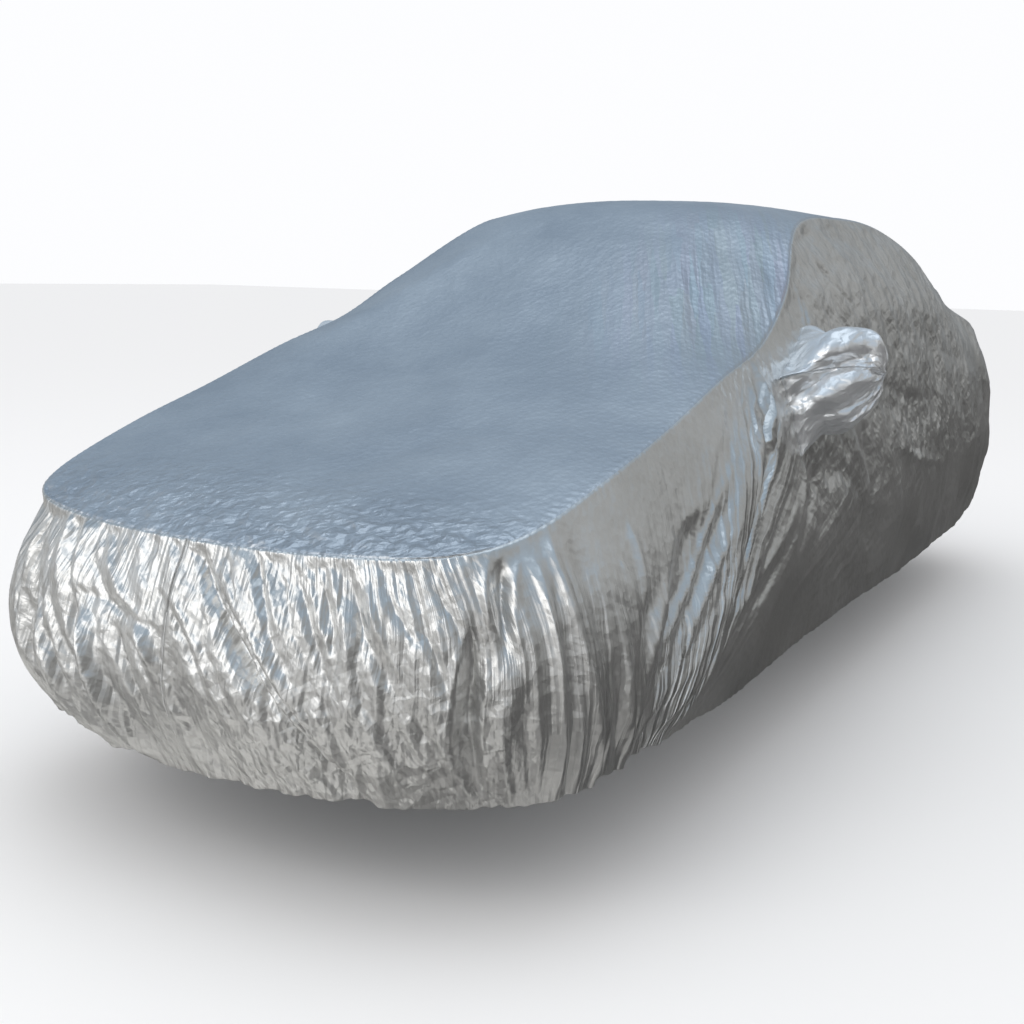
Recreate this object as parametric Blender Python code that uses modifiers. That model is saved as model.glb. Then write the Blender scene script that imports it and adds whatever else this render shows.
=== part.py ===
"""Fitted car cover of thin silvery film, in its draped shape.

The tables give heights from the ground and lengths from a place 0.35 m in front
of the model's origin. The front is towards -Y and the left side is +X. The
model's origin is the place where the roof film is held up, on its inner face,
so everything else lies below or around it.
"""
from collections import namedtuple

import bmesh
import bpy
import numpy as np

# driving dimensions, in metres
film_thickness = 0.002
seam_gap = 0.0008        # between the edges of two panels that are sewn together
seam_depth = 0.006       # how far the stitching draws the film in
seam_width = 0.007       # width of the drawn-in strip on each side of a seam
roof_rest = np.array([0.0, 0.35, 1.510])

# The cover's left half in section, one row for each station from the middle of
# the front round the corner, along the side and to the middle of the back.
# steps is the number of rows of the top panel up to the next station, and split
# the side panel's columns for each of them. seam is the edge of the top panel,
# belt, waist and hem are lower points of the side panel, ridge is the (y, z) of
# the top panel's centre line beside that station, and crown is the power of the
# curve from there to the seam: a high one rolls over late.
Station = namedtuple("Station", "name steps split seam belt waist hem ridge crown")
stations = [
    Station("front_mid", 4, 2, (0.00, -2.09, 0.735), (0.00, -2.15, 0.60), (0.00, -2.165, 0.42),
            (0.00, -2.09, 0.24), None, None),
    Station("front_quarter", 4, 2, (0.32, -2.06, 0.738), (0.36, -2.12, 0.60), (0.36, -2.13, 0.42),
            (0.34, -2.05, 0.245), None, None),
    Station("front_corner", 2, 4, (0.545, -1.985, 0.75), (0.63, -2.01, 0.60), (0.65, -2.02, 0.42),
            (0.62, -1.96, 0.26), (-2.09, 0.735), 3.0),
    Station("corner_side", 3, 3, (0.65, -1.85, 0.785), (0.745, -1.87, 0.62), (0.785, -1.87, 0.44),
            (0.765, -1.85, 0.29), (-1.95, 0.785), 3.0),
    Station("fender", 3, 3, (0.685, -1.58, 0.862), (0.79, -1.60, 0.67), (0.825, -1.60, 0.46),
            (0.80, -1.60, 0.305), (-1.62, 0.865), 3.0),
    Station("front_wheel", 3, 2, (0.69, -1.30, 0.935), (0.80, -1.30, 0.73), (0.84, -1.28, 0.50),
            (0.81, -1.26, 0.29), (-1.28, 0.955), 3.0),
    Station("fender_back", 3, 2, (0.69, -1.00, 1.025), (0.80, -1.00, 0.80), (0.84, -0.98, 0.52),
            (0.81, -0.95, 0.29), (-0.93, 1.08), 3.0),
    Station("mirror_front", 5, 1, (0.69, -0.72, 1.10), (0.785, -0.70, 0.90), (0.84, -0.68, 0.58),
            (0.81, -0.66, 0.30), (-0.60, 1.25), 2.8),
    Station("mirror_back", 3, 1, (0.66, -0.46, 1.235), (0.77, -0.44, 1.00), (0.84, -0.42, 0.60),
            (0.81, -0.40, 0.30), (-0.36, 1.39), 2.4),
    Station("roof_front", 3, 1, (0.57, -0.12, 1.43), (0.74, -0.05, 1.12), (0.845, 0.00, 0.64),
            (0.815, 0.00, 0.30), (-0.10, 1.50), 2.4),
    Station("roof_mid", 3, 1, (0.565, 0.35, 1.465), (0.75, 0.38, 1.14), (0.85, 0.40, 0.65),
            (0.815, 0.40, 0.29), (0.35, 1.512), 2.4),
    Station("roof_back", 3, 1, (0.575, 0.80, 1.445), (0.75, 0.85, 1.14), (0.85, 0.90, 0.65),
            (0.815, 0.90, 0.29), (0.82, 1.495), 2.4),
    Station("back_pillar", 3, 1, (0.61, 1.20, 1.355), (0.76, 1.25, 1.08), (0.85, 1.28, 0.64),
            (0.815, 1.28, 0.30), (1.18, 1.40), 2.6),
    Station("back_shelf", 3, 1, (0.65, 1.60, 1.185), (0.77, 1.62, 0.98), (0.84, 1.62, 0.62),
            (0.80, 1.62, 0.30), (1.58, 1.25), 3.0),
    Station("boot_side", 3, 1, (0.70, 1.94, 1.09), (0.775, 1.97, 0.90), (0.80, 1.98, 0.60),
            (0.77, 1.96, 0.33), (1.95, 1.13), 3.0),
    Station("back_corner", 4, 1, (0.60, 2.13, 1.03), (0.66, 2.18, 0.86), (0.69, 2.22, 0.60),
            (0.66, 2.16, 0.33), (2.22, 1.04), 3.0),
    Station("back_quarter", 4, 1, (0.34, 2.20, 1.035), (0.35, 2.26, 0.86), (0.36, 2.30, 0.58),
            (0.35, 2.24, 0.33), None, None),
    Station("back_mid", 0, 1, (0.00, 2.22, 1.04), (0.00, 2.29, 0.86), (0.00, 2.33, 0.58),
            (0.00, 2.27, 0.33), None, None),
]
place = {station.name: index for index, station in enumerate(stations)}

# Folds of the side panels. A place on them is (around, height): metres along the
# waist from the middle of the front, the left side positive, and metres above the
# ground. depth is positive for a ridge and negative for a trough.
Fold = namedtuple("Fold", "start middle end width depth")
front_folds = [
    Fold((0.02, 0.74), (0.20, 0.53), (0.44, 0.22), 0.034, -0.020),
    Fold((0.10, 0.73), (0.26, 0.54), (0.50, 0.25), 0.032, 0.013),
    Fold((0.31, 0.74), (0.34, 0.66), (0.40, 0.55), 0.030, -0.015),
    Fold((0.42, 0.74), (0.44, 0.66), (0.48, 0.56), 0.030, -0.013),
    Fold((0.55, 0.63), (0.60, 0.53), (0.62, 0.42), 0.035, 0.016),
    Fold((0.73, 0.65), (0.66, 0.48), (0.70, 0.20), 0.038, -0.028),
    Fold((0.52, 0.40), (0.56, 0.31), (0.62, 0.20), 0.035, 0.012),
    Fold((0.80, 0.76), (0.77, 0.67), (0.73, 0.57), 0.022, -0.018),
    Fold((0.03, 0.68), (0.05, 0.60), (0.10, 0.50), 0.028, -0.012),
    Fold((-0.10, 0.60), (-0.02, 0.47), (0.05, 0.22), 0.034, 0.015),
    Fold((-0.05, 0.56), (0.03, 0.44), (0.11, 0.22), 0.030, -0.012),
    Fold((-0.24, 0.57), (-0.18, 0.46), (-0.08, 0.20), 0.034, 0.017),
    Fold((-0.30, 0.62), (-0.26, 0.46), (-0.18, 0.22), 0.030, -0.014),
    Fold((-0.42, 0.56), (-0.35, 0.40), (-0.28, 0.22), 0.034, 0.014),
    Fold((-0.52, 0.70), (-0.47, 0.52), (-0.42, 0.30), 0.034, -0.014),
    Fold((-0.66, 0.70), (-0.60, 0.50), (-0.55, 0.22), 0.040, 0.014),
    Fold((-0.80, 0.74), (-0.76, 0.52), (-0.70, 0.20), 0.040, -0.018),
]
# folds down behind the front corner and sweeping down and forward from the pocket
side_folds = [
    Fold((0.86, 0.76), (0.85, 0.58), (0.82, 0.20), 0.030, 0.018),
    Fold((0.90, 0.66), (0.88, 0.50), (0.86, 0.20), 0.030, -0.014),
    Fold((0.93, 0.80), (0.925, 0.60), (0.93, 0.20), 0.030, 0.018),
    Fold((0.975, 0.78), (0.975, 0.58), (0.99, 0.20), 0.030, -0.026),
    Fold((1.05, 0.64), (1.03, 0.50), (1.04, 0.20), 0.034, 0.018),
    Fold((1.18, 0.80), (1.14, 0.62), (1.10, 0.40), 0.036, 0.012),
    Fold((1.50, 0.74), (1.28, 0.62), (1.13, 0.20), 0.062, -0.030),
    Fold((1.90, 0.91), (1.52, 0.67), (1.17, 0.24), 0.060, 0.044),
    Fold((2.02, 0.82), (1.72, 0.60), (1.34, 0.24), 0.060, -0.016),
    Fold((2.10, 0.72), (1.84, 0.54), (1.56, 0.26), 0.070, 0.014),
    Fold((2.02, 1.02), (1.96, 0.92), (1.88, 0.82), 0.050, 0.014),
    Fold((2.50, 0.78), (2.36, 0.66), (2.10, 0.50), 0.070, 0.014),
    Fold((2.62, 0.86), (2.68, 0.66), (2.62, 0.42), 0.080, -0.014),
    Fold((2.47, 1.24), (2.44, 1.16), (2.40, 1.08), 0.060, -0.012),
    Fold((2.80, 0.86), (3.20, 0.80), (3.70, 0.86), 0.080, -0.014),
    Fold((3.20, 0.74), (3.24, 0.56), (3.20, 0.20), 0.090, 0.012),
    Fold((3.75, 0.80), (3.80, 0.58), (3.72, 0.20), 0.090, -0.014),
    Fold((4.10, 1.00), (4.16, 0.66), (4.10, 0.20), 0.080, 0.016),
    Fold((4.42, 0.96), (4.46, 0.64), (4.42, 0.20), 0.080, -0.016),
    Fold((4.72, 0.96), (4.76, 0.62), (4.72, 0.24), 0.070, 0.016),
    Fold((4.96, 0.94), (5.02, 0.62), (4.98, 0.24), 0.060, -0.016),
    Fold((5.26, 0.96), (5.28, 0.66), (5.24, 0.24), 0.070, 0.014),
    Fold((5.52, 0.94), (5.50, 0.66), (5.54, 0.24), 0.070, -0.012),
]
right_shift = 0.05       # the unseen right side has the same folds, a little further back
right_strength = 0.85    # and a little shallower

# soft folds of the top panel; a place on it is its (x, y)
top_folds = [
    Fold((0.40, -0.20), (0.47, -0.48), (0.60, -0.86), 0.050, -0.008),
    Fold((0.30, -0.22), (0.37, -0.56), (0.52, -1.00), 0.050, 0.007),
    Fold((-0.34, -0.26), (-0.44, -0.60), (-0.56, -0.96), 0.060, 0.008),
    Fold((-0.10, -0.40), (0.00, -0.90), (0.16, -1.40), 0.080, 0.006),
    Fold((0.30, -1.30), (0.16, -1.60), (0.05, -1.90), 0.080, -0.006),
    Fold((-0.40, -1.20), (-0.30, -1.50), (-0.20, -1.86), 0.080, 0.006),
    Fold((-0.42, 1.00), (-0.46, 1.30), (-0.50, 1.62), 0.070, 0.008),
    Fold((0.42, 0.98), (0.45, 1.26), (0.52, 1.60), 0.070, -0.008),
    Fold((-0.40, 1.74), (0.00, 1.64), (0.42, 1.76), 0.090, -0.010),
]

# shares of the way down a side panel at which its mesh rows lie
down_levels = (0, 0.08, 0.165, 0.22, 0.28, 0.35, 0.43, 0.51, 0.59, 0.67, 0.75, 0.83, 0.915, 1)
pocket_rows = (3, 7)     # the rows of the side panel that a mirror pocket spans

# A mirror pocket in section from its root outwards. reach is the distance from
# the side panel, rise and back are the section's centre against the root's.
Section = namedtuple("Section", "reach height depth rise back")
pocket_sections = [
    Section(0.00, 0.26, 0.25, 0.000, 0.000),
    Section(0.04, 0.265, 0.22, 0.024, -0.012),
    Section(0.08, 0.265, 0.19, 0.044, -0.012),
    Section(0.12, 0.25, 0.165, 0.058, -0.004),
    Section(0.155, 0.21, 0.14, 0.066, 0.006),
    Section(0.182, 0.15, 0.105, 0.068, 0.012),
    Section(0.198, 0.08, 0.06, 0.066, 0.016),
]
pocket_crease = 0.034    # depth of the slanting crease in the pocket's front
pocket_crease_width = 0.036
right_droop = 0.10       # the right pocket hangs lower by this much at its tip

mirror_x = np.array([-1.0, 1.0, 1.0])


def catmull_rom(knots, at):
    """Smooth curve through evenly numbered knots, read at the numbers in at."""
    knots = np.asarray(knots, float)
    before = 2 * knots[0] - knots[1]
    after = 2 * knots[-1] - knots[-2]
    knots = np.vstack([before, knots, after])
    at = np.clip(np.asarray(at, float), 0, len(knots) - 3)
    first = np.minimum(at.astype(int), len(knots) - 4)
    u = (at - first)[..., None]
    a, b, c, d = (knots[first + step] for step in range(4))
    return 0.5 * (2 * b + (c - a) * u + (2 * a - 5 * b + 4 * c - d) * u ** 2
                  + (3 * b - a - 3 * c + d) * u ** 3)


def ring(column, at):
    """Points of one column's outline round the left half of the cover."""
    half = np.array([getattr(station, column) for station in stations])
    closed = np.vstack([half[1] * mirror_x, half, half[-2] * mirror_x])
    return catmull_rom(closed, np.asarray(at, float) + 1)


def ridge(at):
    """Centre line of the top panel as (x, y, z) points, and its crown powers."""
    first, last = place["front_corner"], place["back_corner"]
    line = [(0.0,) + station.ridge + (station.crown,) for station in stations[first:last + 1]]
    values = catmull_rom(line, np.asarray(at, float) - first)
    return values[..., :3], values[..., 3:]


def unit(vectors):
    return vectors / np.maximum(np.linalg.norm(vectors, axis=-1, keepdims=True), 1e-9)


def ease(u):
    u = np.clip(u, 0, 1)
    return u * u * (3 - 2 * u)


def around(at):
    """Metres along the waist from the middle of the front."""
    fine = np.linspace(0, len(stations) - 1, 600)
    pieces = np.linalg.norm(np.diff(ring("waist", fine), axis=0), axis=1)
    return np.interp(at, fine, np.concatenate([[0], np.cumsum(pieces)]))


def relief(places, folds):
    """Height of the folds at places that are measured as the folds' own are."""
    total = np.zeros(places.shape[:-1])
    share = np.linspace(0, 1, 13)[:, None]
    for fold in folds:
        start, middle, end = (np.array(point) for point in (fold.start, fold.middle, fold.end))
        bend = 2 * middle - (start + end) / 2
        path = (1 - share) ** 2 * start + 2 * share * (1 - share) * bend + share ** 2 * end
        nearest = np.full(total.shape, 9.0)
        along = np.zeros(total.shape)
        for index, (a, b) in enumerate(zip(path, path[1:])):
            u = np.clip((places - a) @ (b - a) / ((b - a) @ (b - a)), 0, 1)
            distance = np.linalg.norm(places - a - u[..., None] * (b - a), axis=-1)
            along = np.where(distance < nearest, (index + u) / (len(path) - 1), along)
            nearest = np.minimum(nearest, distance)
        swell = 0.45 + 0.55 * np.sin(np.pi * along)
        total += fold.depth * swell * np.exp(-(nearest / fold.width) ** 2)
    return total


def station_columns(first, last):
    """Column numbers between two stations, with their steps, ends included."""
    numbers = [np.linspace(index, index + 1, stations[index].steps, endpoint=False)
               for index in range(first, last)]
    return np.append(np.concatenate(numbers), last)


def split_columns(numbers):
    """Adds a side panel's own columns between those that it shares with the top."""
    finer = []
    for a, b in zip(numbers, numbers[1:]):
        split = stations[int(a)].split if b - a > 0.15 else 1
        finer.append(np.linspace(a, b, split, endpoint=False))
    return np.append(np.concatenate(finer), numbers[-1])


def add_seam_columns(numbers):
    """Adds the narrow columns that draw the film in beside the seams."""
    narrow = 0.045
    return np.concatenate([numbers[:1], [numbers[0] + narrow], numbers[1:-1],
                           [numbers[-1] - narrow], numbers[-1:]])


front_numbers = station_columns(place["front_mid"], place["front_corner"])
side_numbers = add_seam_columns(station_columns(place["front_corner"], place["back_corner"]))
back_numbers = station_columns(place["back_corner"], place["back_mid"])


def seam_inward(at):
    """Direction in which the stitching of the shoulder seam is drawn in."""
    ahead = ring("waist", np.minimum(at + 0.02, len(stations) - 1))
    behind = ring("waist", np.maximum(at - 0.02, 0))
    along = ahead - behind
    outward = unit(np.stack([along[..., 1], -along[..., 0], np.zeros_like(along[..., 0])], -1))
    return -unit(outward + np.array([0, 0, 0.9]))


def side_base(numbers, down):
    """Side panel without folds, for column numbers and shares of the way down."""
    levels = np.stack([ring(column, numbers) for column in ("seam", "belt", "waist", "hem")])
    before = levels[0] + (levels[0] - levels[1]) * 0.6
    after = levels[3] + (levels[3] - levels[2]) * 0.8
    levels = np.concatenate([before[None], levels, after[None]])
    at = np.clip(down * 3, 0, 3)
    first = np.minimum(at.astype(int), 2)
    u = (at - first)[..., None]
    column = np.arange(levels.shape[1])[:, None]
    a, b, c, d = (levels[first + step, column] for step in range(4))
    return 0.5 * (2 * b + (c - a) * u + (2 * a - 5 * b + 4 * c - d) * u ** 2
                  + (3 * b - a - 3 * c + d) * u ** 3)


def add_strip_point(line):
    """Adds the point where the drawn-in strip beside the shoulder seam begins."""
    return np.insert(line, -1, line[-2] + (line[-1] - line[-2]) * 0.9, axis=0)


def top_base():
    """Top panel without folds, as a grid of rows front to back, left half only."""
    front = ring("seam", front_numbers)
    back = ring("seam", back_numbers)[::-1]
    centre, crown = ridge(side_numbers)
    centre = centre[:, None]
    edge = ring("seam", side_numbers)[:, None]
    run = (side_numbers - side_numbers[0]) / (side_numbers[-1] - side_numbers[0])
    run = run[:, None]
    across = (1 - run) * front[:, 0] / front[-1, 0] + run * back[:, 0] / back[-1, 0]
    across = np.insert(across, -1, 1 - seam_width / edge[:, 0, 0], axis=1)
    front = add_strip_point(front)
    back = add_strip_point(back)
    base = centre + (edge - centre) * np.stack([across, across ** 2, across ** crown], -1)
    reach = 1.6          # stations over which the curve of the front and back edges fades out
    near_front = 1 - ease((side_numbers - side_numbers[0]) / reach)[:, None, None]
    near_back = 1 - ease((side_numbers[-1] - side_numbers) / reach)[:, None, None]
    return base + near_front * (front - base[0]) + near_back * (back - base[-1])


def grid_normals(grid):
    """Unit normals of a grid of points, from its neighbours both ways."""
    along = np.gradient(grid, axis=0)
    across = np.gradient(grid, axis=1)
    return unit(np.cross(along, across))


def film(name, grid, colour, skip=()):
    """One panel of film from a grid of outer points, thickened inwards."""
    mesh = bpy.data.meshes.new(name)
    model = bmesh.new()
    rows, columns = grid.shape[:2]
    vertices = [[model.verts.new(grid[i, j] - roof_rest) for j in range(columns)] for i in range(rows)]
    for i in range(rows - 1):
        for j in range(columns - 1):
            if (i, j) not in skip:
                ahead, behind = vertices[i], vertices[i + 1]
                model.faces.new((ahead[j], ahead[j + 1], behind[j + 1], behind[j]))
    loose = [vertex for vertex in model.verts if not vertex.link_faces]
    bmesh.ops.delete(model, geom=loose, context="VERTS")
    return finish_film(mesh, model, colour)


def finish_film(mesh, model, colour):
    model.to_mesh(mesh)
    model.free()
    panel = bpy.data.objects.new(mesh.name, mesh)
    cover.objects.link(panel)
    panel.data.materials.append(colour)
    panel.data.shade_smooth()
    thicken = panel.modifiers.new("film", "SOLIDIFY")
    thicken.thickness = film_thickness
    thicken.offset = -1
    thicken.use_even_offset = False
    thicken.use_quality_normals = True
    return panel


def film_material(name, colour, roughness):
    material = bpy.data.materials.new(name)
    material.use_nodes = True
    shader = material.node_tree.nodes["Principled BSDF"]
    shader.inputs["Base Color"].default_value = (*colour, 1)
    shader.inputs["Metallic"].default_value = 0.85
    shader.inputs["Roughness"].default_value = roughness
    return material


def held_up(grid):
    """The film's right side stands higher over the bonnet, further in at the roof."""
    right = ease((-grid[..., 0] - 0.25) / 0.3)
    beside_bonnet = np.exp(-((grid[..., 1] + 1.0) / 0.70) ** 2)
    beside_roof = np.exp(-((grid[..., 1] + 0.18) / 0.22) ** 2)
    high = ease((grid[..., 2] - 0.6) / 0.25)
    grid = grid.copy()
    grid[..., 2] += 0.022 * right * beside_bonnet * high
    grid[..., 0] += 0.030 * right * beside_roof * high
    return grid


def side_grid(side):
    """Outer points of one side panel; side is 1 on the left and -1 on the right."""
    shared = np.concatenate([front_numbers[:-1], side_numbers, back_numbers[1:]])
    numbers = add_seam_columns(split_columns(shared))
    levels = [ring(column, numbers) for column in ("seam", "belt", "waist", "hem")]
    length = sum(np.linalg.norm(levels[k + 1] - levels[k], axis=1) for k in range(3))
    strip = seam_width / length
    down = strip[:, None] + (1 - strip[:, None]) * np.array(down_levels)
    down = np.concatenate([np.zeros((len(numbers), 1)), down], axis=1)
    grid = side_base(numbers, down)
    normal = grid_normals(grid)
    normal *= np.sign((normal * (grid - np.array([0, 0, 0.6])))[..., :2].sum(-1).mean())
    metres = around(numbers)
    below_seam = (down * length[:, None]) / 0.06
    before_back = (metres[-1] - metres) / 0.15
    places = np.stack([side * metres[:, None] + 0 * down, grid[..., 2]], -1)
    height = relief(places, front_folds)
    sideways = places * np.array([side, 1]) - np.array([right_shift if side < 0 else 0, 0])
    height += relief(sideways, side_folds) * (right_strength if side < 0 else 1)
    height *= ease(below_seam - 0.15) * ease(before_back)[:, None]
    grid += normal * height[..., None]
    for end in (0, -1):
        grid[end, 1:] -= normal[end, 1:] * seam_depth
        grid[end, :, 0] = seam_gap / 2
    for axis in range(3):
        grid[:, 0, axis] = np.interp(numbers, shared, seam_line(shared)[:, axis])
    grid[:, 0] += unit(grid[:, 1] - grid[:, 0]) * seam_gap / 2
    grid[0, 0, 0] = grid[-1, 0, 0] = seam_gap / 2
    if side < 0:
        grid = grid * mirror_x
    return numbers, held_up(grid)


def seam_line(numbers):
    """The shoulder seam, drawn in by its stitching."""
    return ring("seam", numbers) + seam_inward(numbers) * seam_depth


def top_grid():
    """Outer points of the top panel, from its right edge to its left."""
    half = top_base()
    grid = np.concatenate([half[:, :0:-1] * mirror_x, half], axis=1)
    normal = grid_normals(grid)
    normal *= np.sign(normal[..., 2].mean())
    rim = np.minimum.outer(np.arange(len(grid)), np.full(grid.shape[1], 99))
    rim = np.minimum(rim, rim[::-1])
    across = np.arange(grid.shape[1])
    rim = np.minimum(rim, np.minimum(across, across[::-1]))
    grid += normal * (relief(grid[..., :2], top_folds) * ease((rim - 1) / 2))[..., None]
    front = seam_line(front_numbers)
    back = seam_line(back_numbers[::-1])
    edge = seam_line(side_numbers)
    for row, line in ((0, add_strip_point(front)), (-1, add_strip_point(back))):
        grid[row] = np.concatenate([line[:0:-1] * mirror_x, line])
    grid[:, -1] = edge
    grid[:, 0] = edge * mirror_x
    inner = grid[1:-1, 1:-1].copy()
    grid[0, 1:-1] += unit(inner[0] - grid[0, 1:-1]) * seam_gap / 2
    grid[-1, 1:-1] += unit(inner[-1] - grid[-1, 1:-1]) * seam_gap / 2
    grid[1:-1, 0] += unit(inner[:, 0] - grid[1:-1, 0]) * seam_gap / 2
    grid[1:-1, -1] += unit(inner[:, -1] - grid[1:-1, -1]) * seam_gap / 2
    for row, inside in ((0, 1), (-1, -2)):
        for column, beside in ((0, 1), (-1, -2)):
            grid[row, column] += unit(grid[inside, beside] - grid[row, column]) * seam_gap / 2
    return held_up(grid)


def pocket_hole(numbers):
    """Grid cells of a side panel that a mirror pocket covers."""
    first = int(np.argmin(abs(numbers - place["mirror_front"])))
    last = int(np.argmin(abs(numbers - place["mirror_back"])))
    return first, last, pocket_rows[0], pocket_rows[1]


def mirror_pocket(name, grid, hole, side, colour):
    """Sewn-on pocket that grows out of the hole's own edge."""
    first, last, high, low = hole
    around = [(i, high) for i in range(first, last)] + [(last, j) for j in range(high, low)]
    around += [(i, low) for i in range(last, first, -1)] + [(first, j) for j in range(low, high, -1)]
    root = np.array([grid[cell] for cell in around])
    middle = root.mean(axis=0)
    root += unit(middle - root) * seam_gap
    span = np.ptp(root, axis=0)
    angle = np.arctan2((root - middle)[:, 1] / span[1], (root - middle)[:, 2] / span[2])
    out = np.array([side, 0.0, 0.0])
    mesh = bpy.data.meshes.new(name)
    model = bmesh.new()
    rings = []
    for section in pocket_sections:
        round_shape = np.stack([np.zeros_like(angle), np.sin(angle) * section.depth / 2,
                                np.cos(angle) * section.height / 2], -1)
        blend = ease(section.reach / 0.09)
        points = (root - middle) * (1 - blend) + round_shape * blend
        reach_share = section.reach / pocket_sections[-1].reach
        crease_height = section.height * (0.4 * reach_share - 0.08)
        front = ease(-points[:, 1] / (section.depth * 0.4))
        inset = np.exp(-((points[:, 2] - crease_height) / pocket_crease_width) ** 2)
        strength = pocket_crease * ease(section.reach / 0.06) * (1 - reach_share ** 3)
        points[:, 1] += strength * front * inset
        droop = 0 if side > 0 else right_droop * reach_share
        points += middle + out * section.reach + np.array([0, section.back, section.rise - droop])
        rings.append([model.verts.new(point - roof_rest) for point in points])
    tip_point = middle + out * (section.reach + 0.006) + np.array([0, section.back, section.rise - droop])
    tip = model.verts.new(tip_point - roof_rest)
    count = len(root)
    for inner, outer in zip(rings, rings[1:]):
        for k in range(count):
            after = (k + 1) % count
            model.faces.new((inner[k], inner[after], outer[after], outer[k]))
    for k in range(count):
        model.faces.new((rings[-1][k], rings[-1][(k + 1) % count], tip))
    bmesh.ops.recalc_face_normals(model, faces=model.faces)
    if sum(face.normal.x * side for face in model.faces if tip in face.verts) < 0:
        bmesh.ops.reverse_faces(model, faces=model.faces)
    return finish_film(mesh, model, colour)


for thing in list(bpy.data.objects):
    bpy.data.objects.remove(thing)
cover = bpy.data.collections.new("car_cover")
bpy.context.scene.collection.children.link(cover)

silver = film_material("silver_film", (0.56, 0.60, 0.64), 0.32)
bright_silver = film_material("pocket_film", (0.70, 0.72, 0.74), 0.28)

top = top_grid()
film("top_panel", top, silver)
for side, word in ((1, "left"), (-1, "right")):
    numbers, grid = side_grid(side)
    hole = pocket_hole(numbers)
    first, last, high, low = hole
    cells = {(i, j) for i in range(first, last) for j in range(high, low)}
    if side < 0:
        panel_grid = grid[::-1]
        cells = {(len(grid) - 2 - i, j) for i, j in cells}
    else:
        panel_grid = grid
    film("side_panel_" + word, panel_grid, silver, cells)
    mirror_pocket("mirror_pocket_" + word, grid, hole, side, bright_silver)
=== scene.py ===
import math
from collections import namedtuple

import bpy
import numpy as np
from mathutils import Matrix, Vector


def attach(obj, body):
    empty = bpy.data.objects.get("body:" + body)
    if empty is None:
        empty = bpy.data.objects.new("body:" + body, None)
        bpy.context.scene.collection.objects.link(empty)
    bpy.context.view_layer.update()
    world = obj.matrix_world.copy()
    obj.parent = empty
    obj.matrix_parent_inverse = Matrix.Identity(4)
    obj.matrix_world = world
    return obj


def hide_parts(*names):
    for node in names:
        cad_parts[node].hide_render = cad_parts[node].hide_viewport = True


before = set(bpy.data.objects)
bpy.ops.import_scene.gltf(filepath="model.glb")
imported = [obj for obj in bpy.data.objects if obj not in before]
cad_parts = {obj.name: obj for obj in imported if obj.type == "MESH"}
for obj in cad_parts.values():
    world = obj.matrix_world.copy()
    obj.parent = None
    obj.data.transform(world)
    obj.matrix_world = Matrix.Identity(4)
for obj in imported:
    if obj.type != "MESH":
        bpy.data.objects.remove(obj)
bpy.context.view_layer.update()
print("frame loaded")

# camera
cameraView = {
    "place": (1.80, -4.23, -0.24),
    "yaw": 30.35,      # degrees to the left of straight along the cover
    "dip": 10.8,
    "roll": 1.28,
    "lens": 44.2,
}


def addCamera(view):
    yaw, dip, roll = (math.radians(view[key]) for key in ("yaw", "dip", "roll"))
    ahead = Vector((-math.sin(yaw) * math.cos(dip), math.cos(yaw) * math.cos(dip), -math.sin(dip)))
    right = ahead.cross(Vector((0, 0, 1))).normalized()
    up = right.cross(ahead)
    tiltedRight = math.cos(roll) * right + math.sin(roll) * up
    tiltedUp = -math.sin(roll) * right + math.cos(roll) * up
    data = bpy.data.cameras.new("camera")
    data.lens = view["lens"]
    data.sensor_width = 36
    data.clip_end = 200
    camera = bpy.data.objects.new("camera", data)
    camera.matrix_world = Matrix((tiltedRight, tiltedUp, -ahead)).transposed().to_4x4()
    camera.location = view["place"]
    bpy.context.scene.collection.objects.link(camera)
    bpy.context.scene.camera = camera


addCamera(cameraView)
print("camera set")

# the cover's outline
# The cover is drawn with its heights from the ground and its roof's high place at y = 0.35.
roofRest = np.array([0.0, 0.35, 1.510])       # the frame's own origin
mirrorX = np.array([-1.0, 1.0, 1.0])
insidePlace = np.array([0.0, 0.0, -0.9])       # in the frame, a place under the cover
# Rows stand close beside a seam, in metres from it, and evenly from plainRows on.
seamRows = np.array([0, 0.0025, 0.005, 0.008, 0.012, 0.017, 0.024, 0.033])
plainRows = 0.042

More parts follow.
